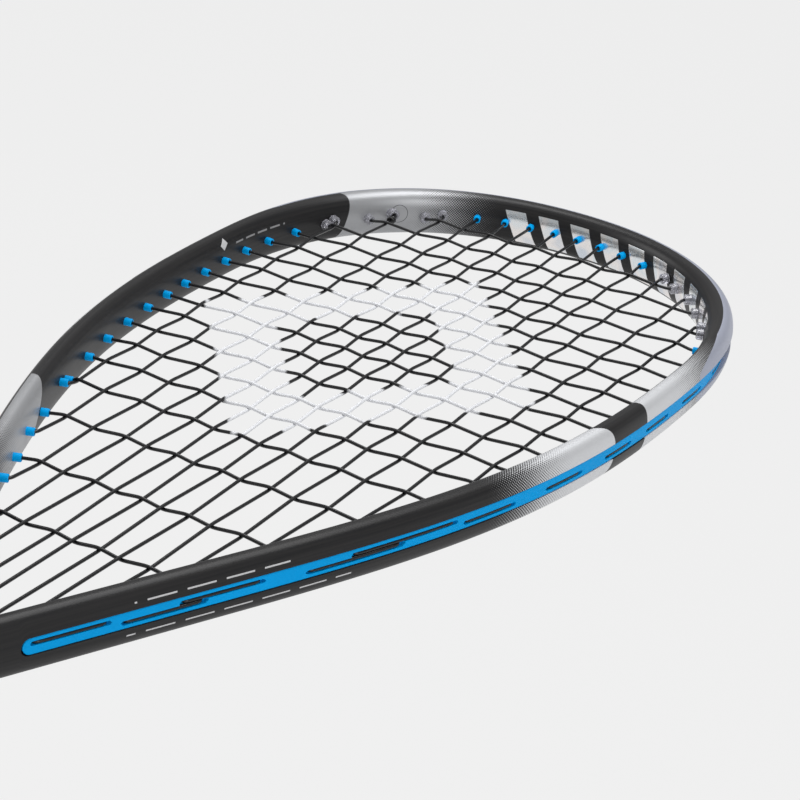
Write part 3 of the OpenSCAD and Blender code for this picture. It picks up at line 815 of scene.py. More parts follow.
    def path(self) -> Array:
        """The whole string, from the tip's tie-off to the throat's.

        Returns:
            The string's corners, in order.
        """
        z, out = self.weave, self.loop_n
        tail = -(self.tip_s[self.big] + self.tie_shift)
        parts = [self.hoop.place(tail, [-self.proud, out], z),
                 self.loop(tail, -self.tip_s[-1], z)]
        for i in range(1, 2 * self.half + 1):
            side, k = self.who(i)
            if i % 2 == 1:
                parts.append(self.main_up(i)[::-1])
                if k:
                    parts.append(self.loop(side * self.throat_s[k],
                                           side * self.throat_s[self.who(i + 1)[1]], z))
            else:
                parts.append(self.main_up(i))
                if i < 2 * self.half:
                    parts.append(self.loop(self.tip_place(i), self.tip_place(i + 1), z))
        link = np.linspace(self.tip_s[-1], self.cross_s[1], 4)[1:]
        parts.append(self.hoop.place(link, out, z))
        over = np.linspace(self.cross_s[1], self.tip_s[self.big], 6)[1:]
        parts.append(self.hoop.place(over, out, np.linspace(z, -z, 6)[1:]))
        for j in range(1, self.crosses + 1):
            leftwards = j % 2 == 1
            parts.append(self.cross_right(j)[::-1] if leftwards else self.cross_right(j))
            if j < self.crosses:
                side = -1 if leftwards else 1
                parts.append(self.loop(side * self.cross_s[j - 1], side * self.cross_s[j], -z))
        parts.append(self.loop(self.cross_s[-1], self.tie_s, -z))
        parts.append(self.hoop.place(self.tie_s, [out, -self.proud - self.bend_gap], -z))
        return np.concatenate(parts)


# ---------------------------------------------------------------------------------------------
# Finishes
# ---------------------------------------------------------------------------------------------

Colour = tuple[float, float, float]
Pair = tuple[float, float]


@dataclass(frozen=True)
class PaintPlace:
    """Where a point lies on the hoop, in millimetres, as the paint's masks ask for it.

    x, y and z are the part's own, with y counted from the point where the arms' inner walls would
    meet. s runs along the hoop from the tip, and t runs round the tube. outer goes from -1 on the
    tube's inner side to 1 on its outer side, and outside and inside are 1 on those two sides.
    """

    x: Wire
    y: Wire
    z: Wire
    s: Wire
    t: Wire
    outer: Wire
    outside: Wire
    inside: Wire


def dashes(along: Wire, pitch: float, share: Pair, soft: float) -> Wire:
    """1 on evenly spaced dashes, each of which fills a share of its pitch."""
    return (along * (1 / pitch)).fraction().between(*share, soft)


@dataclass(frozen=True)
class HoopPaint:
    """Satin black lacquer with silver panels that break up into a fine weave, and bright bars.

    Heights are counted from the point where the arms' inner walls would meet, and distances along
    the hoop from its tip. A pair is where something starts and where it ends.
    """

    black: Colour = (0.009, 0.009, 0.010)
    streak: Colour = (0.019, 0.018, 0.018)
    silver: Colour = (0.62, 0.63, 0.65)
    flake: Pair = (0.9, 1.08)
    # painted shade: the colour that the silver on the tube's inside is darkened towards, and by how much
    painted_shade: Colour = (0.06, 0.06, 0.065)
    painted_shade_share: float = 0.50
    lilac: Colour = (0.36, 0.38, 0.46)
    mark: Colour = (0.50, 0.50, 0.51)
    ring_ink: Colour = (0.03, 0.03, 0.035)
    sharp: float = 0.02
    panel_sharp: float = 0.25
    crest: float = 0.35
    crest_drop: float = 0.8
    weave: float = 1.05
    band_low: float = 226.5
    band_slant: float = 7.0
    band_high: float = 254.0
    fade_low: Pair = (169.2, 212.2)
    fade_high: Pair = (324.2, 272.2)
    tip_edge: float = 298.0
    tip_rise: float = 30.0
    tip_outer: float = 0.12
    inner_edge: float = 354.0
    inner_slant: float = 0.25
    inner_fade: Pair = (27.8, 62.0)
    arm_edge: float = 137.2
    arm_slant: float = 0.8
    arm_fade: Pair = (72.2, 122.2)
    bars: Pair = (-27.0, 104.0)
    bar_pitch: float = 13.6
    bar_share: Pair = (0.2, 0.8)
    bar_slant: float = 0.42
    bar_heights: Pair = (-7.2, 5.6)
    upper_dashes: Pair = (352.0, 402.0)
    upper_heights: Pair = (4.55, 5.05)
    lower_dashes: Pair = (330.0, 404.0)
    lower_heights: Pair = (-5.2, -4.7)
    dash_pitch: float = 12.5
    dash_share: Pair = (0.1, 0.84)
    diamond: Pair = (286.2, 5.4)
    diamond_reach: float = 2.3
    label: Pair = (294.2, 324.2)
    label_heights: Pair = (3.6, 4.3)
    label_pitch: float = 7.5
    label_share: Pair = (0.12, 0.86)
    label_strength: float = 0.45
    ring_x: float = 62.7
    ring_z: float = 0.6
    ring_radii: Pair = (3.5, 3.7)

    def _place(self, shader: Shader, hoop: Hoop) -> PaintPlace:
        """Reads the coordinates and tells the tube's outside from its inside.

        Args:
            shader: the material that is being made.
            hoop: the hoop's outline.

        Returns:
            The place, as wires.
        """
        x, y, z = shader.place()
        s, t = shader.run()
        outer = shader.node("ShaderNodeAttribute", {"attribute_name": "outer"}, out="Fac")
        crest = self.crest - self.crest_drop * (x * z).above(0.0, 2.0)
        return PaintPlace(x, y - hoop.y_meet, z, s, t, outer, outer.above(crest, self.sharp),
                          outer.below(crest, self.sharp))

    def _woven(self, at: PaintPlace, cover: Wire) -> Wire:
        """Silver on the cells of a diagonal weave that lie under the cover, which runs from 0 to 1."""
        turn = 2 * np.pi / self.weave
        cell = 0.5 + 0.25 * (((at.s + at.t) * turn).cos() + ((at.s - at.t) * turn).cos())
        return (((cover * 1.3 - 0.15) - cell) * 3.2 + 0.5).clamped()

    def _tip_cap(self, at: PaintPlace) -> Wire:
        """The lilac cap over the tip's outer side."""
        edge = self.tip_edge + self.tip_rise * (1.0 - at.outer.ramp(0.1, 0.9))
        return at.y.above(edge, 0.4) * at.outer.above(self.tip_outer, self.sharp)

    def _outer_silver(self, at: PaintPlace, tip_cap: Wire) -> Wire:
        """The outer side's two silver panels, with a slanting black band between them.

        Args:
            at: where the point lies on the hoop.
            tip_cap: the lilac cap's mask.

        Returns:
            The panels' mask.
        """
        lean = ((at.outer + 0.5) * (1 / 1.5)).clamped()
        low = self._woven(at, at.y.ramp(*self.fade_low))
        low = low * at.y.below(self.band_low + self.band_slant * lean ** 1.4, self.panel_sharp)
        high = self._woven(at, at.y.ramp(*self.fade_high))
        high = high * at.y.above(self.band_high + lean, self.panel_sharp)
        return (low + high).clamped() * at.outside * (1.0 - tip_cap)

    def _inner_silver(self, at: PaintPlace, hoop: Hoop) -> Wire:
        """The inner side's silver panels: one on the left shoulder, and one on each arm.

        Args:
            at: where the point lies on the hoop.
            hoop: the hoop's outline.

        Returns:
            The panels' mask.
        """
        fade = (hoop.s_where_x(x) for x in self.inner_fade)
        shoulder = self._woven(at, abs(at.s).ramp(*fade)) * at.s.below(0.0)
        shoulder = shoulder * at.y.above(self.inner_edge + self.inner_slant * at.z, self.panel_sharp)
        arm = self._woven(at, at.y.ramp(*self.arm_fade))
        arm = arm * at.y.below(self.arm_edge + self.arm_slant * at.z, self.panel_sharp)
        return (shoulder + arm).clamped() * at.inside

    def _bright_bars(self, at: PaintPlace) -> Wire:
        """Slanted bars on the inside of the tip."""
        bar = dashes(at.s + self.bar_slant * at.z, self.bar_pitch, self.bar_share, 0.02)
        bar = bar * at.z.between(*self.bar_heights, 0.15) * at.inside
        return bar * at.s.between(*self.bars, 0.2)

    def _small_marks(self, at: PaintPlace) -> Wire:
        """Dashes beside the grommet strip, and a diamond and fainter dashes on the left's inside.

        Args:
            at: where the point lies on the hoop.

        Returns:
            The marks' mask, weaker on the fainter dashes.
        """
        above = at.z.between(*self.upper_heights, 0.08) * at.s.between(*self.upper_dashes, 0.1)
        below = at.z.between(*self.lower_heights, 0.08) * at.s.between(*self.lower_dashes, 0.1)
        dash = dashes(at.s, self.dash_pitch, self.dash_share, 0.01)
        lines = (above + below).clamped() * dash * at.outer.above(0.5, self.sharp)
        left = at.inside * at.x.below(0.0)
        away = abs(at.y - self.diamond[0]) + abs(at.z - self.diamond[1])
        diamond = away.below(self.diamond_reach, 0.15) * left
        label = at.z.between(*self.label_heights, 0.1) * at.y.between(*self.label, 0.2) * left
        label = label * dashes(at.y, self.label_pitch, self.label_share, self.sharp)
        return (lines + diamond + self.label_strength * label).clamped()

    def _ring(self, at: PaintPlace, hoop: Hoop) -> Wire:
        """A thin printed circle round the tie-off's hole."""
        along = at.s + hoop.s_where_x(self.ring_x)
        away = (along ** 2.0 + (at.z - self.ring_z) ** 2.0) ** 0.5
        return away.between(*self.ring_radii, 0.08) * at.inside

    def _lacquer(self, shader: Shader, at: PaintPlace) -> Wire:
        """Black with faint streaks that run along the hoop."""
        fibres = shader.node("ShaderNodeCombineXYZ", X=at.s * 0.006, Y=at.t * 0.35)
        streaks = shader.node("ShaderNodeTexNoise", Vector=fibres, Scale=3.0, Detail=4.0)
        return shader.mix(streaks.ramp(0.35, 0.75), self.black, self.streak)

    def _metal_flake(self, shader: Shader, at: PaintPlace) -> Wire:
        """Silver with a fine flake, with painted shade darkening it on the tube's inside."""
        dim, bright = (tuple(level * v for v in self.silver) for level in self.flake)
        silver = shader.mix(shader.noise(5200.0, 1.0), dim, bright)
        # painted shade: the inside's silver is darkened to stand in for the lesser light that falls there
        return shader.mix(self.painted_shade_share * at.inside, silver, self.painted_shade)

    def _foil(self, shader: Shader) -> Wire:
        """The bars' bright foil, which drifts between cool and warm."""
        stops = [(0.30, (0.62, 0.66, 0.72)), (0.45, (0.84, 0.80, 0.78)),
                 (0.58, (0.72, 0.77, 0.80)), (0.72, (0.88, 0.84, 0.80))]
        return shader.node("ShaderNodeValToRGB", {"stops": stops}, Fac=shader.noise(95.0, 2.0))

    def material(self, hoop: Hoop) -> bpy.types.Material:
        """Builds the paint.

        Args:
            hoop: the hoop's line, for where a width lies along it.

        Returns:
            The material.
        """
        shader = Shader("satin_black_and_silver")
        at = self._place(shader, hoop)
        tip_cap = self._tip_cap(at)
        panels = self._outer_silver(at, tip_cap) + self._inner_silver(at, hoop)
        bar = self._bright_bars(at)

        colour = shader.mix(panels.clamped(), self._lacquer(shader, at), self._metal_flake(shader, at))
        colour = shader.mix(tip_cap, colour, self.lilac)
        colour = shader.mix(bar, colour, self._foil(shader))
        colour = shader.mix(self._small_marks(at), colour, self.mark)
        colour = shader.mix(self._ring(at, hoop), colour, self.ring_ink)

        bright = panels + tip_cap
        metal = (bright * 0.55 + bar * 0.9).clamped()
        rough = 0.34 + 0.10 * shader.noise(38.0, 4.0) - 0.20 * bar + 0.04 * metal
        relief = 0.8 * (bright + bar).clamped() + 0.2 * shader.noise(900.0, 2.0)
        shader.set(Base_Color=colour, Metallic=metal, Roughness=rough, Specular_IOR_Level=0.24,
                   Normal=shader.bump(relief, 0.02, 0.6))
        return shader.material


@dataclass(frozen=True)
class Moulded:
    """Injection-moulded plastic or rubber with a fine spark-eroded skin."""

    name: str
    colour: Colour
    roughness: float = 0.42
    grain_mm: float = 0.03
    grain_scale: float = 1800.0
    specular: float = 0.5
    coat: float = 0.0
    clear: float = 0.0
    drift: Pair = (0.86, 1.12)

    def material(self) -> bpy.types.Material:
        """Builds the material: slow colour drift, patchy gloss and a fine grain.

        Returns:
            The finished material.
        """
        shader = Shader(self.name)
        drift = shader.noise(55.0, 4.0)
        grain = shader.noise(self.grain_scale, 3.0)
        deep, pale = (tuple(min(1.0, level * v) for v in self.colour) for level in self.drift)
        shader.set(Base_Color=shader.mix(drift, deep, pale),
                   Roughness=self.roughness + 0.14 * (drift - 0.5), Specular_IOR_Level=self.specular,
                   Coat_Weight=self.coat, Coat_Roughness=0.2, Transmission_Weight=self.clear,
                   Normal=shader.bump(grain, self.grain_mm, 0.5))
        return shader.material


@dataclass(frozen=True)
class StringFinish:
    """Coated black string, with a plain diamond outline stencilled on it in pale ink.

    The outline's centre is its place across and its height above the arms' meeting point. Its
    reach is half its width and half its length, and inner is where its open middle ends.
    """

    black: Colour = (0.006, 0.006, 0.007)
    ink: Colour = (0.74, 0.75, 0.78)
    centre: Pair = (-6.0, 247.0)
    reach: Pair = (66.0, 84.0)
    inner: float = 0.56
    ragged: float = 0.05
    ridge_pitch: float = 0.9
    ridge_twist: float = 3.1

    def material(self, hoop: Hoop) -> bpy.types.Material:
        """Builds the material.

        Args:
            hoop: the hoop's line, for the height that the stencil's centre is counted from.

        Returns:
            The material.
        """
        shader = Shader("coated_string")
        x, y, _ = shader.place()
        s, t = shader.run()
        across = abs(x - self.centre[0]) * (1 / self.reach[0])
        along = abs(y - (hoop.y_meet + self.centre[1])) * (1 / self.reach[1])
        ragged = (shader.noise(260.0, 2.0) - 0.5) * self.ragged
        cover = (across + along + ragged).between(self.inner, 1.0, 0.02)
        worn = 0.72 + 0.2 * shader.noise(700.0, 2.0)
        ridges = 0.5 + 0.5 * (t * (2.0 * np.pi / self.ridge_pitch) + s * self.ridge_twist).cos()
        shader.set(Base_Color=shader.mix(cover * worn, self.black, self.ink),
                   Roughness=0.30 + 0.30 * cover, Specular_IOR_Level=0.4,
                   Normal=shader.bump(ridges, 0.012, 0.4))
        return shader.material


@dataclass(frozen=True)
class GripFinish:
    """Tacky polyurethane wrap: fine leather-like pores and rows of punched holes along the wrap."""

    colour: Colour = (0.018, 0.018, 0.020)
    worn: Colour = (0.030, 0.030, 0.032)
    # painted shade: the near-black colour put inside the punched holes, where the recess would be shaded
    hole_painted_shade: Colour = (0.004, 0.004, 0.004)
    row: float = 4.2
    hole: float = 0.62
    hole_soft: float = 0.25
    depth_mm: float = 0.16

    def _from_hole(self, run: Wire) -> Wire:
        """The way to the nearest row of holes, with its sign."""
        return ((run / self.row).fraction() - 0.5) * self.row

    def material(self) -> bpy.types.Material:
        """Builds the material from the wrap's own run along and across its strip.

        Returns:
            The finished material.
        """
        shader = Shader("tacky_grip_wrap")
        a, b = (self._from_hole(run) for run in shader.run())
        hole = ((a * a + b * b) ** 0.5).below(self.hole, self.hole_soft)
        pores = shader.noise(1500.0, 4.0)
        worn = shader.noise(30.0, 3.0)
        # painted shade fills the punched holes
        colour = shader.mix(hole, shader.mix(worn, self.colour, self.worn), self.hole_painted_shade)
        height = 0.35 * pores + 0.65 * (1.0 - hole)
        shader.set(Base_Color=colour, Roughness=0.50 + 0.16 * worn, Sheen_Weight=0.1,
                   Normal=shader.bump(height, self.depth_mm, 0.7))
        return shader.material


@dataclass(frozen=True)
class DrawnSteel:
    """Bright drawn wire with fine lines."""

    colour: Colour = (0.56, 0.56, 0.57)

    def material(self) -> bpy.types.Material:
        """Builds the metal.

        Returns:
            The finished material.
        """
        shader = Shader("drawn_steel")
        lines = shader.noise(3000.0, 2.0)
        shader.set(Base_Color=self.colour, Metallic=1.0, Roughness=0.24 + 0.16 * lines,
                   Normal=shader.bump(lines, 0.01, 0.4))
        return shader.material


@dataclass(frozen=True)
class BadgeFinish:
    """Domed resin badge: two plain rings on a dark disc."""

    disc: Colour = (0.02, 0.021, 0.024)
    ring: Colour = (0.42, 0.43, 0.45)
    rim: Pair = (6.6, 7.2)
    middle: Pair = (2.8, 4.2)

    def material(self) -> bpy.types.Material:
        """Builds the rings from the distance to the racket's axis.

        Returns:
            The finished material.
        """
        shader = Shader("resin_badge")
        x, _, z = shader.place()
        away = (x * x + z * z) ** 0.5
        rings = (away.between(*self.rim, 0.08) + away.between(*self.middle, 0.08)).clamped()
        brushed = shader.noise(700.0, 2.0)
        shader.set(Base_Color=shader.mix(rings, self.disc, self.ring), Metallic=0.5 * rings,
                   Roughness=0.22 + 0.1 * brushed, Coat_Weight=1.0, Coat_Roughness=0.04,
                   Normal=shader.bump(brushed, 0.01, 0.3))
        return shader.material


@dataclass
class Finishes:
    """Every finish of the racket, made once and handed to the pieces."""

    hoop: Hoop

    def __post_init__(self) -> None:
        """Makes the materials."""
        moulded = {
            Slot.FOAM: Moulded("expanded_foam", (0.72, 0.74, 0.77), roughness=0.7, grain_mm=0.2,
                               grain_scale=700.0),
            Slot.BLUE: Moulded("blue_nylon", (0.0, 0.30, 0.69), grain_mm=0.02, grain_scale=1400.0,
                               specular=0.05),
            Slot.CLEAR: Moulded("smoky_soft_plastic", (0.62, 0.62, 0.68), roughness=0.14,
                                grain_mm=0.01, grain_scale=600.0, coat=0.3, clear=0.75),
            Slot.HANDLE: Moulded("handle_foam", (0.022, 0.022, 0.024), roughness=0.6, grain_mm=0.1,
                                 grain_scale=900.0),
            Slot.CAP: Moulded("cap_rubber", (0.014, 0.014, 0.015), roughness=0.52, grain_mm=0.05,
                              grain_scale=1300.0),
            Slot.TAPE: Moulded("vinyl_tape", (0.010, 0.010, 0.011), roughness=0.30, grain_mm=0.02,
                               grain_scale=500.0, coat=0.2),
            Slot.COLLAR: Moulded("collar_rubber", (0.013, 0.013, 0.013), roughness=0.58,
                                 grain_mm=0.05, grain_scale=1100.0),
        }
        self.by_slot = {slot: finish.material() for slot, finish in moulded.items()}
        self.by_slot[Slot.PAINT] = HoopPaint().material(self.hoop)
        self.by_slot[Slot.STRING] = StringFinish().material(self.hoop)
        self.by_slot[Slot.BADGE] = BadgeFinish().material()
        self.by_slot[Slot.STEEL] = DrawnSteel().material()
        self.by_slot[Slot.GRIP] = GripFinish().material()

    def dress(self, piece: bpy.types.Object, slot: Slot) -> None:
        """Gives a piece its slot's material."""
        piece.data.materials.clear()
        piece.data.materials.append(self.by_slot[slot])

    def finish_piece(self, piece: bpy.types.Object, slot: Slot, *nodes: str) -> bpy.types.Object:
        """Dresses a new piece, ties it to the body, hides the CAD nodes that it stands for and logs them.

        Args:
            piece: the object.
            slot: the material slot.
            *nodes: the CAD nodes that it replaces.

        Returns:
            The same object.
        """
        self.dress(piece, slot)
        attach(piece, "root")
        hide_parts(*nodes)
        LOG.info("%s: %d faces, for %s", piece.name, len(piece.data.polygons), ", ".join(nodes))
        return piece


# ---------------------------------------------------------------------------------------------
# The racket's pieces
# ---------------------------------------------------------------------------------------------


@dataclass
class CarbonFrame:
    """The hoop's grooved tube, the throat that joins its arms, and the shaft."""

    hoop: Hoop
    plan: StringPlan
    groove_depth: float = 2.4
    groove_w: float = 5.3
    groove_end: float = 4.0
    least_rim: float = 0.3
    rim_round: float = 0.14
    spacing: float = 2.2
    shaft_w: float = 19.0
    shaft_d: float = 17.0
    shaft_power: float = 2.5
    shaft_start: float = 14.0
    blend: float = 6.0
    arm_blend: float = 3.0
    arm_tuck: float = 0.35
    overlap: float = 1.5
    throat_low: float = 211.5
    deepening: float = 216.0
    shaft_top: float = 1.2
    arm_top: float = 9.0
    valley: float = 11.0
    valley_edge: tuple[float, float] = (3.5, 5.5)
    net_step: float = 0.75
    end_u: float = 2.965
    tuck: float = 0.03

    def __post_init__(self) -> None:
        """Works out where the groove and the throat end."""
        self.floor_y = self.hoop.y_meet + self.plan.floor_rise
        self.groove_s = float(self.plan.throat_s[1]) + self.groove_end
        self.end_s = self.hoop.s_at(self.end_u)

    def rim(self, s: Array) -> Array:
        """Half the groove's width: full along the hoop, and a half circle down to its end."""
        full = self.groove_w / 2
        past = np.clip(np.abs(s) - (self.groove_s - full), 0, full)
        return np.maximum(np.sqrt(full ** 2 - past ** 2), self.least_rim)

    def stations(self) -> Array:
        """Distances along the hoop, closer together round the groove's two ends.

        Returns:
            Distances from the tip in rising order, below 0 on the left.
        """
        full = self.groove_w / 2
        curve = self.groove_s - full + full * np.sin(np.linspace(0, np.pi / 2, 16))
        plain = np.arange(self.spacing / 2, self.groove_s - full - 0.5, self.spacing)
        beyond = np.linspace(self.groove_s + 0.02, self.end_s, 12)
        right = np.concatenate([plain, curve, beyond])
        return np.concatenate([-right[::-1], right])

    def tube(self) -> Skin:
        """The hoop: a superellipse section with a groove in its outer side, carried along the wall.

        Returns:
            The hoop's closed skin.
        """
        hoop, s = self.hoop, self.stations()
        half_w, half_d = hoop.beam_w / 2, hoop.beam_d / 2
        rim = self.rim(s)[:, None]
        grooved = (np.abs(s) <= self.groove_s + 0.01)[:, None]
        lip = rim + self.rim_round
        start = np.arcsin((lip / half_d) ** (hoop.edge_power / 2))
        share = np.linspace(0, 1, 44)[None]
        turn = start + (np.pi - start) * share
        c, h = superellipse(half_w, half_d, hoop.edge_power, turn)
        wide = hoop.grow(s)[:, None]
        floor_n = np.where(grooved, hoop.beam_w - self.groove_depth, hoop.half_section(rim * 0.5))
        wall_n = wide * hoop.half_section(rim) - np.where(grooved, self.rim_round, 0.0)
        flat = np.concatenate([floor_n, floor_n, wall_n], 1)
        flat_z = np.concatenate([rim * 0.5, rim, rim], 1)
        up_n = np.concatenate([flat, wide * (half_w + c)], 1)
        up_z = np.concatenate([flat_z, h], 1)
        n = np.concatenate([up_n, up_n[:, -2::-1]], 1)
        z = np.concatenate([up_z, -up_z[:, -2::-1]], 1)
        points = hoop.place(s[:, None], n, z)
        outer = np.clip(n / (wide * half_w) - 1, -1, 1)
        middle = len(s) // 4
        around = lengths_round(n[middle], z[middle])
        around = around - around[len(up_n[0]) - 1]
        return Skin.tube(points, s, around, outer)

    def arm_offset(self, p: Array, side: Side) -> tuple[Array, Array]:
        """How far points lie outwards from an arm's inner wall, and their height."""
        slant = np.radians(self.hoop.arm_angle)
        out = np.array([np.cos(slant), -np.sin(slant)])
        n = side.value * p[..., 0] * out[0] + (p[..., 1] - self.hoop.y_meet) * out[1]
        return n, p[..., 2]

    def arm_field(self, p: Array, side: Side) -> Array:
        """Distance-like field of one straight arm: the section's radius less that of the surface."""
        n, z = self.arm_offset(p, side)
        half_w, half_d, power = self.hoop.beam_w / 2, self.hoop.beam_d / 2, self.hoop.edge_power
        field = self.section_field(n - half_w, z, half_w, half_d, power)
        return np.maximum(field, -side.value * p[..., 0] - self.overlap)

    @staticmethod
    def section_field(a: Array, b: Array, half_a: Array, half_b: Array, power: float) -> Array:
        """Signed radial distance from a superellipse centred at zero."""
        level = (np.abs(a / half_a) ** power + np.abs(b / half_b) ** power) ** (1 / power) + 1e-6
        return np.hypot(a, b) * (1 - 1 / level) - 0.02 * (level < 1e-3)

    def shaft_half(self, y: Array) -> Array:
        """Half the shaft's width: its own, growing softly into the arms' outsides."""
        slant = np.radians(self.hoop.arm_angle)
        arms = (y - self.hoop.y_meet) * np.tan(slant) + self.hoop.beam_w / np.cos(slant) - self.arm_tuck
        own = self.shaft_w / 2
        return (own + arms + np.hypot(own - arms, self.arm_blend)) / 2

    def shaft_depth(self, y: Array) -> Array:
        """Half the shaft's depth, growing to the hoop's."""
        share = smooth_step(y, self.deepening, self.floor_y)
        return self.shaft_d / 2 + share * (self.hoop.beam_d / 2 - self.shaft_d / 2)

    def throat_field(self, p: Array) -> Array:
        """The arms and the shaft melted together by a smooth minimum, cut off below and above.

        Args:
            p: points.

        Returns:
            The field at each point, below 0 inside the body.
        """

        def melted(a: Array, b: Array, reach: float) -> Array:
            """The smaller of two fields, rounded where they are less than reach apart."""
            share = np.clip(reach - np.abs(a - b), 0, None) / reach
            return np.minimum(a, b) - share * share * reach / 4

        y = p[..., 1]
        arms = np.minimum(self.arm_field(p, Side.LEFT), self.arm_field(p, Side.RIGHT))
        shaft = self.section_field(p[..., 0], p[..., 2], self.shaft_half(y), self.shaft_depth(y),
                                   self.shaft_power)
        shaft = np.maximum(shaft, y - self.floor_y + self.shaft_top)
        n = np.maximum(*(self.arm_offset(p, side)[0] for side in Side))
        top = self.floor_y + self.arm_top - self.valley * smooth_step(n, *self.valley_edge)
        body = melted(arms, shaft, self.blend) + self.tuck
        return np.maximum(np.maximum(body, y - top), self.throat_low - y)

    def throat(self) -> Skin:
        """The throat, from inside the collar to just above the floor between the arms.

        Returns:
            The throat's closed skin.
        """
        reach, deep = 26.3, 10.3
        low = np.array([-reach, self.throat_low - 2.1, -deep])
        high = np.array([reach, self.floor_y + 11.0, deep])
        net = surface_net(self.throat_field, low, high, self.net_step)
        net.run = self.spread(net.points)[net.quads]
        half = self.hoop.beam_w / 2
        n = np.maximum(*(self.arm_offset(net.points, side)[0] for side in Side))
        net.outer = np.clip((n - half) / half, -1, 1)
        return net

    def spread(self, points: Array) -> Array:
        """Run coordinates on the throat and shaft: the way down from the tip, and the width."""
        along = self.hoop.length[-1] + self.hoop.y_meet - points[:, 1]
        return np.stack([np.where(points[:, 0] < 0, -along, along), points[:, 2]], 1)

    def shaft(self) -> Skin:
        """The shaft inside the handle: a superellipse carried straight up.

        Returns:
            The shaft's closed skin.
        """
        y = np.linspace(self.shaft_start, self.throat_low + 0.4, 40)
        turn = np.linspace(0, 2 * np.pi, 72, endpoint=False)
        a, b = superellipse(self.shaft_w / 2 - self.tuck, self.shaft_d / 2 - self.tuck,
                            self.shaft_power, turn)
        points = np.stack(np.broadcast_arrays(a[None], y[:, None], b[None]), -1)
        skin = Skin.tube(points, y, lengths_round(a, b))
        skin.outer[:] = 1.0
        return skin

    def build(self, finishes: Finishes) -> None:
        """Makes the frame piece."""
        skin = Skin.joined([self.tube(), self.throat(), self.shaft()])
        finishes.finish_piece(add_piece("carbon_frame", skin, 40.0), Slot.PAINT, "frame")


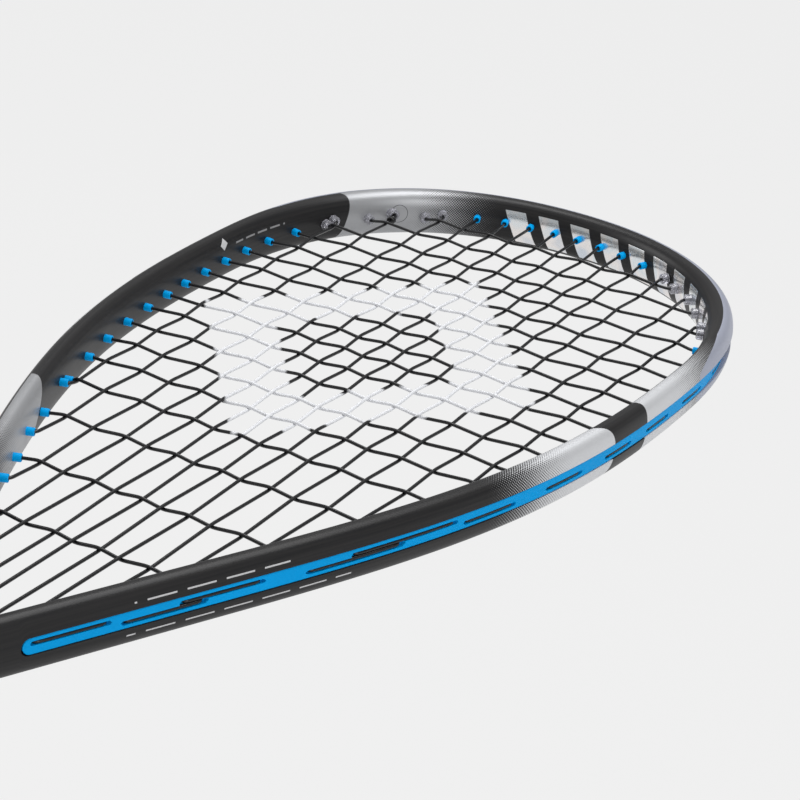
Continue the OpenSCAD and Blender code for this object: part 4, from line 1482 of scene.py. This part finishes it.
@dataclass
class GrommetStrip:
    """A moulded strip in the hoop's groove: a body with beds for the string, and a barrel per hole."""

    hoop: Hoop
    plan: StringPlan
    groove_w: float = 5.3
    groove_depth: float = 2.4
    clearance: float = 0.1
    sink: float = 0.35
    skin_t: float = 0.7
    barrel_r: float = 1.4
    bore_r: float = 0.75
    pod_r: float = 2.1
    big_extra: float = 0.5
    big_bore: float = 0.25
    pod_crosses: int = 3
    pod_mains: int = 3
    slot_room: float = 0.22
    slot_reach: float = 0.35
    end_reach: float = 3.4
    piece_gap: float = 0.25
    step: float = 0.55

    def __post_init__(self) -> None:
        """Works out the strip's levels and the joints between the strips."""
        plan = self.plan
        self.floor_n = self.hoop.beam_w - self.groove_depth + self.clearance / 2
        self.face_n = self.hoop.beam_w - self.sink
        self.bed_n = self.hoop.beam_w - self.groove_depth + self.skin_t
        self.half = self.groove_w / 2 - self.clearance
        self.slot_half = plan.diameter / 2 + self.slot_room
        first = plan.half - self.pod_mains
        self.joint_a = (plan.tip_s[first - 1] + plan.tip_s[first]) / 2
        self.joint_b = (plan.cross_s[self.pod_crosses - 1] + plan.cross_s[self.pod_crosses]) / 2
        self.end = float(plan.throat_s[1]) + self.end_reach
        self.first_pod = first

    def beds(self, side: Side) -> list[tuple[float, float, int]]:
        """Every bed of one side: from, to, and +1 for a main's level, -1 for a cross's, 0 for both.

        Args:
            side: the hoop's side.

        Returns:
            The beds, each as its three values.
        """
        plan = self.plan
        tips = [(plan.tip_s[k], plan.tip_s[k + 1], 1) for k in range(0, plan.half - 1, 2)]
        throats = [(plan.throat_s[k + 1], plan.throat_s[k], 1) for k in range(1, plan.half - 1, 2)]
        start = 1 if side is Side.RIGHT else 0
        rows = [(plan.cross_s[j], plan.cross_s[j + 1], -1) for j in range(start, plan.crosses - 1, 2)]
        if side is Side.LEFT:
            return tips + throats + rows + [(plan.tip_s[plan.big], plan.tip_s[-1], 1)]
        return tips + throats + rows + [
            (plan.cross_s[-1], plan.tie_s, -1), (plan.cross_s[1], plan.tip_s[-1], 1),
            (plan.cross_s[0], plan.tip_s[plan.big], -1), (plan.tip_s[plan.big], plan.cross_s[1], 0)]

    def slot_width(self, s: Array, side: Side, level: int) -> Array:
        """Half the width of the beds at one level: full inside a bed, with half-round ends.

        Args:
            s: distances from the tip.
            side: the hoop's side.
            level: 1 for the mains' level, -1 for the crosses'.

        Returns:
            Half the width at each distance, and 0 outside the beds.
        """
        width = np.zeros(len(s))
        for low, high, kind in self.beds(side):
            if kind not in (level, 0):
                continue
            low, high = min(low, high) - self.slot_reach, max(low, high) + self.slot_reach
            beyond = np.maximum(low - np.abs(s), np.abs(s) - high)
            share = 1 - (np.clip(beyond, 0, None) / self.slot_half) ** 2
            width = np.maximum(width, self.slot_half * np.sqrt(np.clip(share, 0, None)))
        return width

    def body(self, low: float, high: float, side: Side, round_end: bool) -> Skin:
        """The strip between two distances: a flat bar whose outer face dips into the beds.

        Args:
            low: where it starts, as a distance from the tip; negative on the left.
            high: where it ends.
            side: whose beds it has, where s isn't negative.
            round_end: whether its far end is half round.

        Returns:
            The closed skin.
        """
        count = int((high - low) / self.step)
        s = np.linspace(low, high, count)
        half = np.full(count, self.half)
        if round_end:
            s = np.concatenate([s[s < high - self.half], high - self.half
                                + self.half * np.sin(np.linspace(0.02, np.pi / 2 - 0.02, 14))])
            past = np.clip(s - (high - self.half), 0, self.half)
            half = np.sqrt(self.half ** 2 - past ** 2)
        half = half[:, None]
        sided = [np.where(s < 0, self.slot_width(s, Side.LEFT, level),
                          self.slot_width(s, side, level)) for level in (1, -1)]
        up, down = (w[:, None] for w in sided)
        level = self.plan.weave
        thin = 0.02
        up_low, up_high = level - up, level + np.maximum(up, thin)
        down_low, down_high = -level - np.maximum(down, thin), -level + down
        up_low, down_high = np.maximum(up_low, thin), np.minimum(down_high, -thin)
        up_n = np.where(up > 0, self.bed_n, self.face_n)
        down_n = np.where(down > 0, self.bed_n, self.face_n)
        mid_n = np.where((up > 0) & (down > 0), self.bed_n, self.face_n)
        face = np.full_like(half, self.face_n)
        edge = self.face_n - 0.18
        rows = [(-half, self.floor_n + 0 * half), (-half, edge + 0 * half), (-half + 0.18, face),
                (down_low, face), (down_low, down_n), (down_high, down_n), (down_high, mid_n),
                (up_low, mid_n), (up_low, up_n), (up_high, up_n), (up_high, face),
                (half - 0.18, face), (half, edge + 0 * half), (half, self.floor_n + 0 * half)]
        z = np.concatenate([np.clip(r[0], -half, half) for r in rows], 1)
        n = np.concatenate([r[1] for r in rows], 1)
        signed = s if side is Side.RIGHT else -s
        points = self.hoop.place(signed[:, None], n, z)
        return Skin.tube(points, s, np.arange(len(rows) + 1) * 1.0)

    def barrel(self, s: float, z: float, radius: float, bore: float, soft: bool) -> Skin:
        """A tube through the wall, with a rounded mouth; a soft one has a wider domed head inside.

        Args:
            s: distance from the tip, below 0 on the left.
            z: the hole's height above the string plane.
            radius: the barrel's outer radius.
            bore: the hole's radius.
            soft: whether it belongs to a soft shoulder piece.

        Returns:
            The barrel's closed skin.
        """
        base = self.hoop.place(s, 0.0, z)
        tip = self.hoop.place(s, 1.0, z)
        proud = self.plan.proud
        if soft:
            profile = [(bore, -proud + 0.05), (bore + 0.3, -proud), (radius - 0.5, -proud + 0.12),
                       (radius - 0.1, -proud + 0.5), (radius, -0.35), (radius, -0.1),
                       (self.barrel_r, -0.06), (self.barrel_r, self.floor_n + 0.3),
                       (bore, self.floor_n + 0.3)]
        else:
            profile = [(bore + 0.06, -proud + 0.1), (bore + 0.2, -proud), (radius - 0.32, -proud),
                       (radius - 0.12, -proud + 0.08), (radius - 0.02, -proud + 0.3), (radius, -0.2),
                       (radius, self.floor_n + 0.3), (bore, self.floor_n + 0.3), (bore, -proud + 0.4)]
        return turned(np.array(profile), base, tip - base)

    def barrels(self, low: float, high: float, side: Side) -> list[Skin]:
        """Every barrel of one side between two distances from the tip.

        Args:
            low: the nearer distance from the tip.
            high: the farther one.
            side: the hoop's side.

        Returns:
            The barrels' skins.
        """
        plan, made = self.plan, []
        holes = [(s, plan.weave, k >= self.first_pod, side is Side.LEFT and k == plan.big)
                 for k, s in enumerate(plan.tip_s)]
        holes += [(s, plan.weave, False, False) for s in plan.throat_s[1:]]
        holes += [(s, -plan.weave, j < self.pod_crosses, False) for j, s in enumerate(plan.cross_s)]
        if side is Side.RIGHT:
            holes.append((plan.tie_s, -plan.weave, False, False))
        for s, z, soft, big in holes:
            if low < s < high:
                bore = plan.diameter + self.big_bore if big else self.bore_r
                radius = (self.pod_r + (self.big_extra if big else 0.0)) if soft else self.barrel_r
                made.append(self.barrel(side.value * s, z, radius, bore, soft))
        return made

    def build(self, finishes: Finishes) -> None:
        """Makes the tip strip, the two soft shoulder pieces and the two side strips.

        Args:
            finishes: the racket's finishes.
        """
        gap = self.piece_gap
        both = self.body(-self.joint_a + gap, self.joint_a - gap, Side.RIGHT, False)
        tip = [both] + self.barrels(0, self.joint_a, Side.LEFT) + self.barrels(0, self.joint_a, Side.RIGHT)
        finishes.finish_piece(add_piece("tip_strip", Skin.joined(tip)), Slot.BLUE, "tip_grommet_strip")
        for side in Side:
            word = side.name.lower()
            pod = [self.body(self.joint_a + gap, self.joint_b - gap, side, False)]
            pod += self.barrels(self.joint_a, self.joint_b, side)
            finishes.finish_piece(add_piece(f"soft_shoulder_{word}", Skin.joined(pod)), Slot.CLEAR,
                                  f"shoulder_grommet_{word}")
            strip = [self.body(self.joint_b + gap, self.end, side, True)]
            strip += self.barrels(self.joint_b, self.end, side)
            finishes.finish_piece(add_piece(f"side_strip_{word}", Skin.joined(strip)), Slot.BLUE,
                                  f"side_grommet_strip_{word}")


@dataclass
class StringBed:
    """The woven string and the two tie-offs."""

    plan: StringPlan
    sides: int = 12
    bend: float = 1.7
    shortest: float = 0.02
    coil_turns: float = 2.6
    coil_points: int = 60
    coil_reach: float = 1.93
    coil_thick: float = 0.9
    coil_pitch: float = 1.9
    coil_sink: float = 0.35
    coil_loose: float = 0.10
    tip_lift: float = 2.5
    tie_back: float = 1.2

    def knot(self, start: Array, towards: Array, lift: float) -> Skin:
        """The string's tail wound round a main: a helix of the string's own thickness.

        Args:
            start: the corner of the main from which the coil is measured.
            towards: the next corner along the main.
            lift: how far along the main the coil starts.

        Returns:
            The coil's closed skin.
        """
        way = unit(towards - start)
        radius = self.plan.diameter / 2
        reach, thick = radius * self.coil_reach, radius * self.coil_thick
        first = unit(np.cross(way, [0.0, 0.0, 1.0]))
        second = np.cross(way, first)
        turn = np.linspace(0, 2 * np.pi * self.coil_turns, self.coil_points)
        rise = lift - self.coil_sink + turn / (2 * np.pi) * radius * self.coil_pitch
        swell = 1 + self.coil_loose * np.sin(turn * 0.8)
        line = (start + rise[:, None] * way + reach * swell[:, None]
                * (np.cos(turn)[:, None] * first + np.sin(turn)[:, None] * second))
        ahead = unit(np.gradient(line, axis=0))
        side = unit(np.cross(ahead, way))
        lift_axis = np.cross(side, ahead)
        ring = np.linspace(0, 2 * np.pi, self.sides, endpoint=False)
        points = line[:, None] + thick * (np.cos(ring)[None, :, None] * side[:, None]
                                          + np.sin(ring)[None, :, None] * lift_axis[:, None])
        return Skin.tube(points, turn, np.linspace(0, 2 * np.pi * thick, self.sides + 1))

    def build(self, finishes: Finishes) -> None:
        """Makes the string and its two knots.

        Args:
            finishes: the racket's finishes.
        """
        plan = self.plan
        path = rounded_corners(plan.path(), self.bend)
        keep = np.concatenate([[True], np.linalg.norm(np.diff(path, axis=0), axis=1) > self.shortest])
        cord = cord_skin(path[keep], plan.diameter / 2, self.sides)
        tip = plan.main_up(plan.half - plan.big)[::-1]
        low = plan.main_up(plan.half + 1 + plan.tie_main)
        tip_coil = self.knot(tip[1], tip[2], self.tip_lift)
        throat_coil = self.knot(low[1], low[2], plan.tie_gap - self.tie_back)
        for name, skin, node in (("woven_string", cord, "string"),
                                 ("tip_knot", tip_coil, "tip_tie_knot"),
                                 ("throat_knot", throat_coil, "throat_tie_knot")):
            finishes.finish_piece(add_piece(name, skin, 60.0), Slot.STRING, node)


@dataclass
class Handle:
    """The wound grip, the tape and collar that end it, and the butt cap."""

    grip_t: float = 1.8
    power: float = 2.7
    pitch: float = 21.0
    rings: int = 420
    lap: float = 0.6
    lap_width: float = 2.4
    lap_sink: float = 0.675
    seam: float = 0.55
    swell_end: tuple[float, float] = (27.0, 33.0)
    strip_radius: float = 15.0
    strip_slant: float = 0.22
    tape_t: float = 0.35
    girth: float = 95.0
    rib_places: tuple[float, ...] = (0.16, 0.24, 0.32)
    rib_depth: float = 0.28
    thin_w: float = 11.15
    thin_d: float = 10.15
    seat_r: float = 9.1
    cap_wall: float = 1.1
    cap_plate: float = 5.0
    cap_round: float = 1.1
    lip_round: float = 0.6
    sides: int = 128

    def __post_init__(self) -> None:
        """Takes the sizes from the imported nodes."""
        self.grip_box, self.tape_box, self.collar_box, self.cap_box = (
            tuple(np.array(v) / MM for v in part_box(node))
            for node in ("grip", "finishing_tape", "rubber_collar", "butt_cap"))
        self.inner_w = self.tape_box[1][0] - self.tape_t
        self.inner_d = self.tape_box[1][2] - self.tape_t
        self.turn = np.linspace(0, 2 * np.pi, self.sides, endpoint=False)[None]
        self.round = np.linspace(0, self.girth, self.sides + 1)

    def ring(self, a: Array, b: Array, y: Array) -> Array:
        """Superellipse rings at heights y, with half-sizes a and b for each ring or each point."""
        c, s = superellipse(1.0, 1.0, self.power, self.turn)
        return np.stack(np.broadcast_arrays(a * c, y, b * s), -1)

    def wound(self) -> Skin:
        """The wrap: a helix of strip whose edge laps over the turn below, over a sleeve's swell.

        Returns:
            The wrap's closed skin, its run turned to follow the strip.
        """
        low, high = self.grip_box
        y = np.linspace(low[1], high[1], self.rings)[:, None]
        phase = ((y / self.pitch) + self.turn / (2 * np.pi)) % 1.0
        across = phase * self.pitch
        lip = np.exp(-((across - self.lap_width) / self.lap_width) ** 2 * 2.2) * (across > 0.0)
        dip = np.exp(-(np.minimum(across, self.pitch - across) / self.seam) ** 2)
        swell = (high[0] - self.inner_w) * (1 - smooth_step(y, *self.swell_end))
        relief = self.lap * lip - self.lap_sink - self.seam * dip
        ends = -0.9 * np.exp(-((y - low[1]) / 0.8) ** 2) - 0.5 * np.exp(-((high[1] - y) / 0.6) ** 2)
        a = self.inner_w + swell + relief + ends + 0.15
        b = self.inner_d + swell + relief + ends + 0.15
        around = np.linspace(0, 2 * np.pi * self.strip_radius, self.sides + 1)
        skin = Skin.tube(self.ring(a, b, y), y[:, 0], around)
        skin.run = skin.run @ np.array([[1.0, self.strip_slant], [-self.strip_slant, 1.0]])
        return skin

    def tape(self) -> Skin:
        """Finishing tape: a thin band with a slight ripple and a spiral edge.

        Returns:
            The band's closed skin.
        """
        low, high = self.tape_box
        y = np.linspace(low[1], high[1], 30)[:, None]
        ripple = 0.05 * np.sin(3 * self.turn + y * 0.9) + 0.04 * np.sin(y * 2.3)
        edge = -0.25 * (np.exp(-((y - low[1]) / 0.3) ** 2) + np.exp(-((high[1] - y) / 0.3) ** 2))
        grow = ripple + edge - 0.09
        return Skin.tube(self.ring(high[0] + grow, high[2] + grow, y), y[:, 0], self.round)

    def collar(self) -> Skin:
        """Rubber collar: a rolled lower bead, three ribs, and a taper down onto the shaft.

        Returns:
            The collar's closed skin.
        """
        low, high = self.collar_box
        v = np.linspace(0, 1, 90)[:, None]
        y = low[1] + v * (high[1] - low[1])
        taper = smooth_step(v, 0.34, 0.86)
        wide_w, wide_d = high[0] - 0.02, high[2] - 0.02
        bead = -0.7 * (1 - np.sqrt(np.clip(1 - (1 - np.clip(v / 0.08, 0, 1)) ** 2, 0, 1)))
        top = -1.0 * np.clip((v - 0.95) / 0.05, 0, 1) ** 2
        ribs = -self.rib_depth * sum(np.exp(-((v - c) / 0.018) ** 2) for c in self.rib_places)
        a = wide_w + (self.thin_w - wide_w) * taper + bead + top + ribs
        b = wide_d + (self.thin_d - wide_d) * taper + bead + top + ribs
        return Skin.tube(self.ring(a, b, y), y[:, 0], self.round)

    def cap(self) -> Skin:
        """Butt cap: a rounded end plate with a shallow seat for the badge, and its sleeve.

        Returns:
            The cap's closed skin.
        """
        wide_w, top, wide_d = self.cap_box[1]
        sleeve_w, sleeve_d = (self.grip_box[1][k] - self.grip_t - 0.05 for k in (0, 2))
        bore_w, bore_d = sleeve_w - self.cap_wall, sleeve_d - self.cap_wall
        seat, r, lip, plate = self.seat_r, self.cap_round, self.lip_round, self.cap_plate
        arc = np.linspace(0, np.pi / 2, 8)
        rings = [(0.4, 0.4, 0.95), (seat - 0.1, seat - 0.1, 0.95), (seat, seat, 0.85), (seat, seat, 0.1),
                 (seat + 0.1, seat + 0.1, 0.0), (wide_w - r - 2.0, wide_d - r - 2.0, 0.0)]
        rings += [(wide_w - r + r * np.sin(t), wide_d - r + r * np.sin(t), r - r * np.cos(t)) for t in arc]
        rings += [(wide_w - lip + lip * np.cos(t), wide_d - lip + lip * np.cos(t),
                   plate - lip + lip * np.sin(t)) for t in arc]
        rings += [(sleeve_w, sleeve_d, plate), (sleeve_w, sleeve_d, top), (bore_w, bore_d, top),
                  (bore_w, bore_d, plate), (0.4, 0.4, plate)]
        a, b, y = (np.array(v)[:, None] for v in zip(*rings))
        inside = (a < seat + 0.2) & (y < 2.0)
        c, s = superellipse(1.0, 1.0, self.power, self.turn)
        x = np.where(inside, a * np.cos(self.turn), a * c)
        z = np.where(inside, b * np.sin(self.turn), b * s)
        return Skin.tube(np.stack(np.broadcast_arrays(x, y, z), -1), y[:, 0], self.round)

    def badge(self) -> Skin:
        """Round badge: a disc with a softly turned edge.

        Returns:
            The badge's closed skin.
        """
        r, t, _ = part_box("butt_badge")[1] / MM
        edge = 0.25
        arc = np.linspace(0, np.pi / 2, 6)
        profile = [(0.05, 0.0), (r * 0.5, 0.0)]
        profile += [(r - edge + edge * np.sin(a), edge - edge * np.cos(a)) for a in arc]
        profile += [(r, t), (0.05, t)]
        return turned(np.array(profile), np.zeros(3), np.array([0.0, 1.0, 0.0]), 96)

    def build(self, finishes: Finishes) -> None:
        """Makes the visible pieces of the handle.

        Args:
            finishes: the racket's finishes.
        """
        for name, skin, crease, slot, node in (
                ("wound_grip", self.wound(), 50.0, Slot.GRIP, "grip"),
                ("tape_band", self.tape(), 50.0, Slot.TAPE, "finishing_tape"),
                ("collar", self.collar(), 50.0, Slot.COLLAR, "rubber_collar"),
                ("end_cap", self.cap(), 35.0, Slot.CAP, "butt_cap"),
                ("cap_badge", self.badge(), 35.0, Slot.BADGE, "butt_badge")):
            finishes.finish_piece(add_piece(name, skin, crease), slot, node)


@dataclass
class InnerPieces:
    """CAD nodes whose shape is shown as it is, with a better finish."""

    slots: tuple[tuple[str, Slot], ...] = (
        ("foam_insert_left", Slot.FOAM), ("foam_insert_right", Slot.FOAM),
        ("throat_grommet", Slot.BLUE),
        ("handle_shell_left", Slot.HANDLE), ("handle_shell_right", Slot.HANDLE),
        ("cap_staples", Slot.STEEL), ("grip_tack", Slot.STEEL))

    def build(self, finishes: Finishes) -> None:
        """Gives each node its finish."""
        for node, slot in self.slots:
            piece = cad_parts[node]
            finishes.dress(piece, slot)
            LOG.info("%s: kept from the part, finished as %s", node, slot.value)


# ---------------------------------------------------------------------------------------------
# Studio
# ---------------------------------------------------------------------------------------------


@dataclass(frozen=True)
class SoftLight:
    """A rectangular soft light: where it stands, its two sizes in metres, and its power in watts."""

    name: str
    place: tuple[float, float, float]
    size: tuple[float, float]
    watts: float

    def build(self, target: Vector) -> None:
        """Makes the light, facing the target.

        Args:
            target: the point that it shines at.
        """
        lamp = bpy.data.lights.new(self.name, "AREA")
        lamp.shape = "RECTANGLE"
        lamp.size, lamp.size_y = self.size
        lamp.energy = self.watts
        lamp_object = bpy.data.objects.new(self.name, lamp)
        bpy.context.scene.collection.objects.link(lamp_object)
        lamp_object.location = self.place
        lamp_object.rotation_euler = (target - Vector(self.place)).to_track_quat("-Z", "Y").to_euler()


@dataclass
class Studio:
    """Pale floor, soft lights and the camera."""

    floor_z: float = -0.42
    floor_reach: float = 14.0
    pale: float = 0.863
    seen: float = 0.96
    world: float = 0.42
    middle: tuple[float, float, float] = (0.0, 0.5, 0.0)
    lights: tuple[SoftLight, ...] = (
        SoftLight("overhead", (0.1, 0.9, 1.3), (1.6, 0.7), 20.0),
        SoftLight("left", (-1.3, 0.2, 0.7), (0.7, 0.7), 8.0),
        SoftLight("front", (1.2, -0.3, 0.5), (0.6, 0.6), 7.0))
    camera_place: tuple[float, float, float] = (0.3231, -0.1019, 0.3147)
    azimuth: float = 26.62
    elevation: float = 25.10
    roll: float = 6.0
    lens: float = 101.2
    sensor: float = 36.0

    def floor(self) -> None:
        """A large floor. Camera and mirror rays see mostly its plain colour, the rest its shadow."""
        corners = [(i * self.floor_reach, j * self.floor_reach, self.floor_z)
                   for i, j in ((-1, -1), (1, -1), (1, 1), (-1, 1))]
        mesh = bpy.data.meshes.new("floor")
        mesh.from_pydata(corners, [], [(0, 1, 2, 3)])
        floor = bpy.data.objects.new("floor", mesh)
        bpy.context.scene.collection.objects.link(floor)
        shader = Shader("pale_floor")
        shader.set(Base_Color=(self.pale,) * 3, Roughness=0.9, Specular_IOR_Level=0.0)
        glow = shader.node("ShaderNodeEmission", Color=(self.pale,) * 3, Strength=1.0)
        path = shader.node("ShaderNodeLightPath", out="Is Camera Ray")
        outputs = path.socket.node.outputs
        seen = path + Wire(shader, outputs["Is Glossy Ray"]) + Wire(shader, outputs["Is Transmission Ray"])
        blend = shader.node("ShaderNodeMixShader", Fac=seen.clamped() * self.seen,
                            i1=Wire(shader, shader.surface.outputs[0]), i2=glow)
        out = next(n for n in shader.tree.nodes if n.type == "OUTPUT_MATERIAL")
        shader.feed(out.inputs["Surface"], blend)
        mesh.materials.append(shader.material)

    def camera(self) -> None:
        """The camera: its place, where it looks by azimuth and elevation, and its roll."""
        az, el, roll = (np.radians(v) for v in (self.azimuth, self.elevation, self.roll))
        ahead = Vector((-np.sin(az) * np.cos(el), np.cos(az) * np.cos(el), -np.sin(el)))
        level = Vector((np.cos(az), np.sin(az), 0.0))
        raised = level.cross(ahead)
        right = level * np.cos(roll) + raised * np.sin(roll)
        up = raised * np.cos(roll) - level * np.sin(roll)
        data = bpy.data.cameras.new("camera")
        data.lens = self.lens
        data.sensor_width = self.sensor
        camera = bpy.data.objects.new("camera", data)
        bpy.context.scene.collection.objects.link(camera)
        turn = Matrix((right, up, -ahead)).transposed().to_4x4()
        camera.matrix_world = Matrix.Translation(Vector(self.camera_place)) @ turn
        bpy.context.scene.camera = camera

    def sky(self) -> None:
        """An even white sky, and plain colours in the picture."""
        scene = bpy.context.scene
        scene.view_settings.view_transform = "Standard"
        scene.world = bpy.data.worlds.new("studio")
        scene.world.use_nodes = True
        background = scene.world.node_tree.nodes["Background"]
        background.inputs["Color"].default_value = (1.0, 1.0, 1.0, 1.0)
        background.inputs["Strength"].default_value = self.world

    def build(self) -> None:
        """Makes the camera, the floor, the sky and the lights."""
        self.camera()
        self.floor()
        self.sky()
        for light in self.lights:
            light.build(Vector(self.middle))


def main() -> None:
    """Builds the racket piece by piece, then the studio round it."""
    logging.basicConfig(level=logging.INFO, format="%(message)s")
    hoop = Hoop()
    plan = StringPlan(hoop)
    finishes = Finishes(hoop)
    CarbonFrame(hoop, plan).build(finishes)
    GrommetStrip(hoop, plan).build(finishes)
    StringBed(plan).build(finishes)
    Handle().build(finishes)
    InnerPieces().build(finishes)
    Studio().build()


if __name__ == "__main__":
    main()
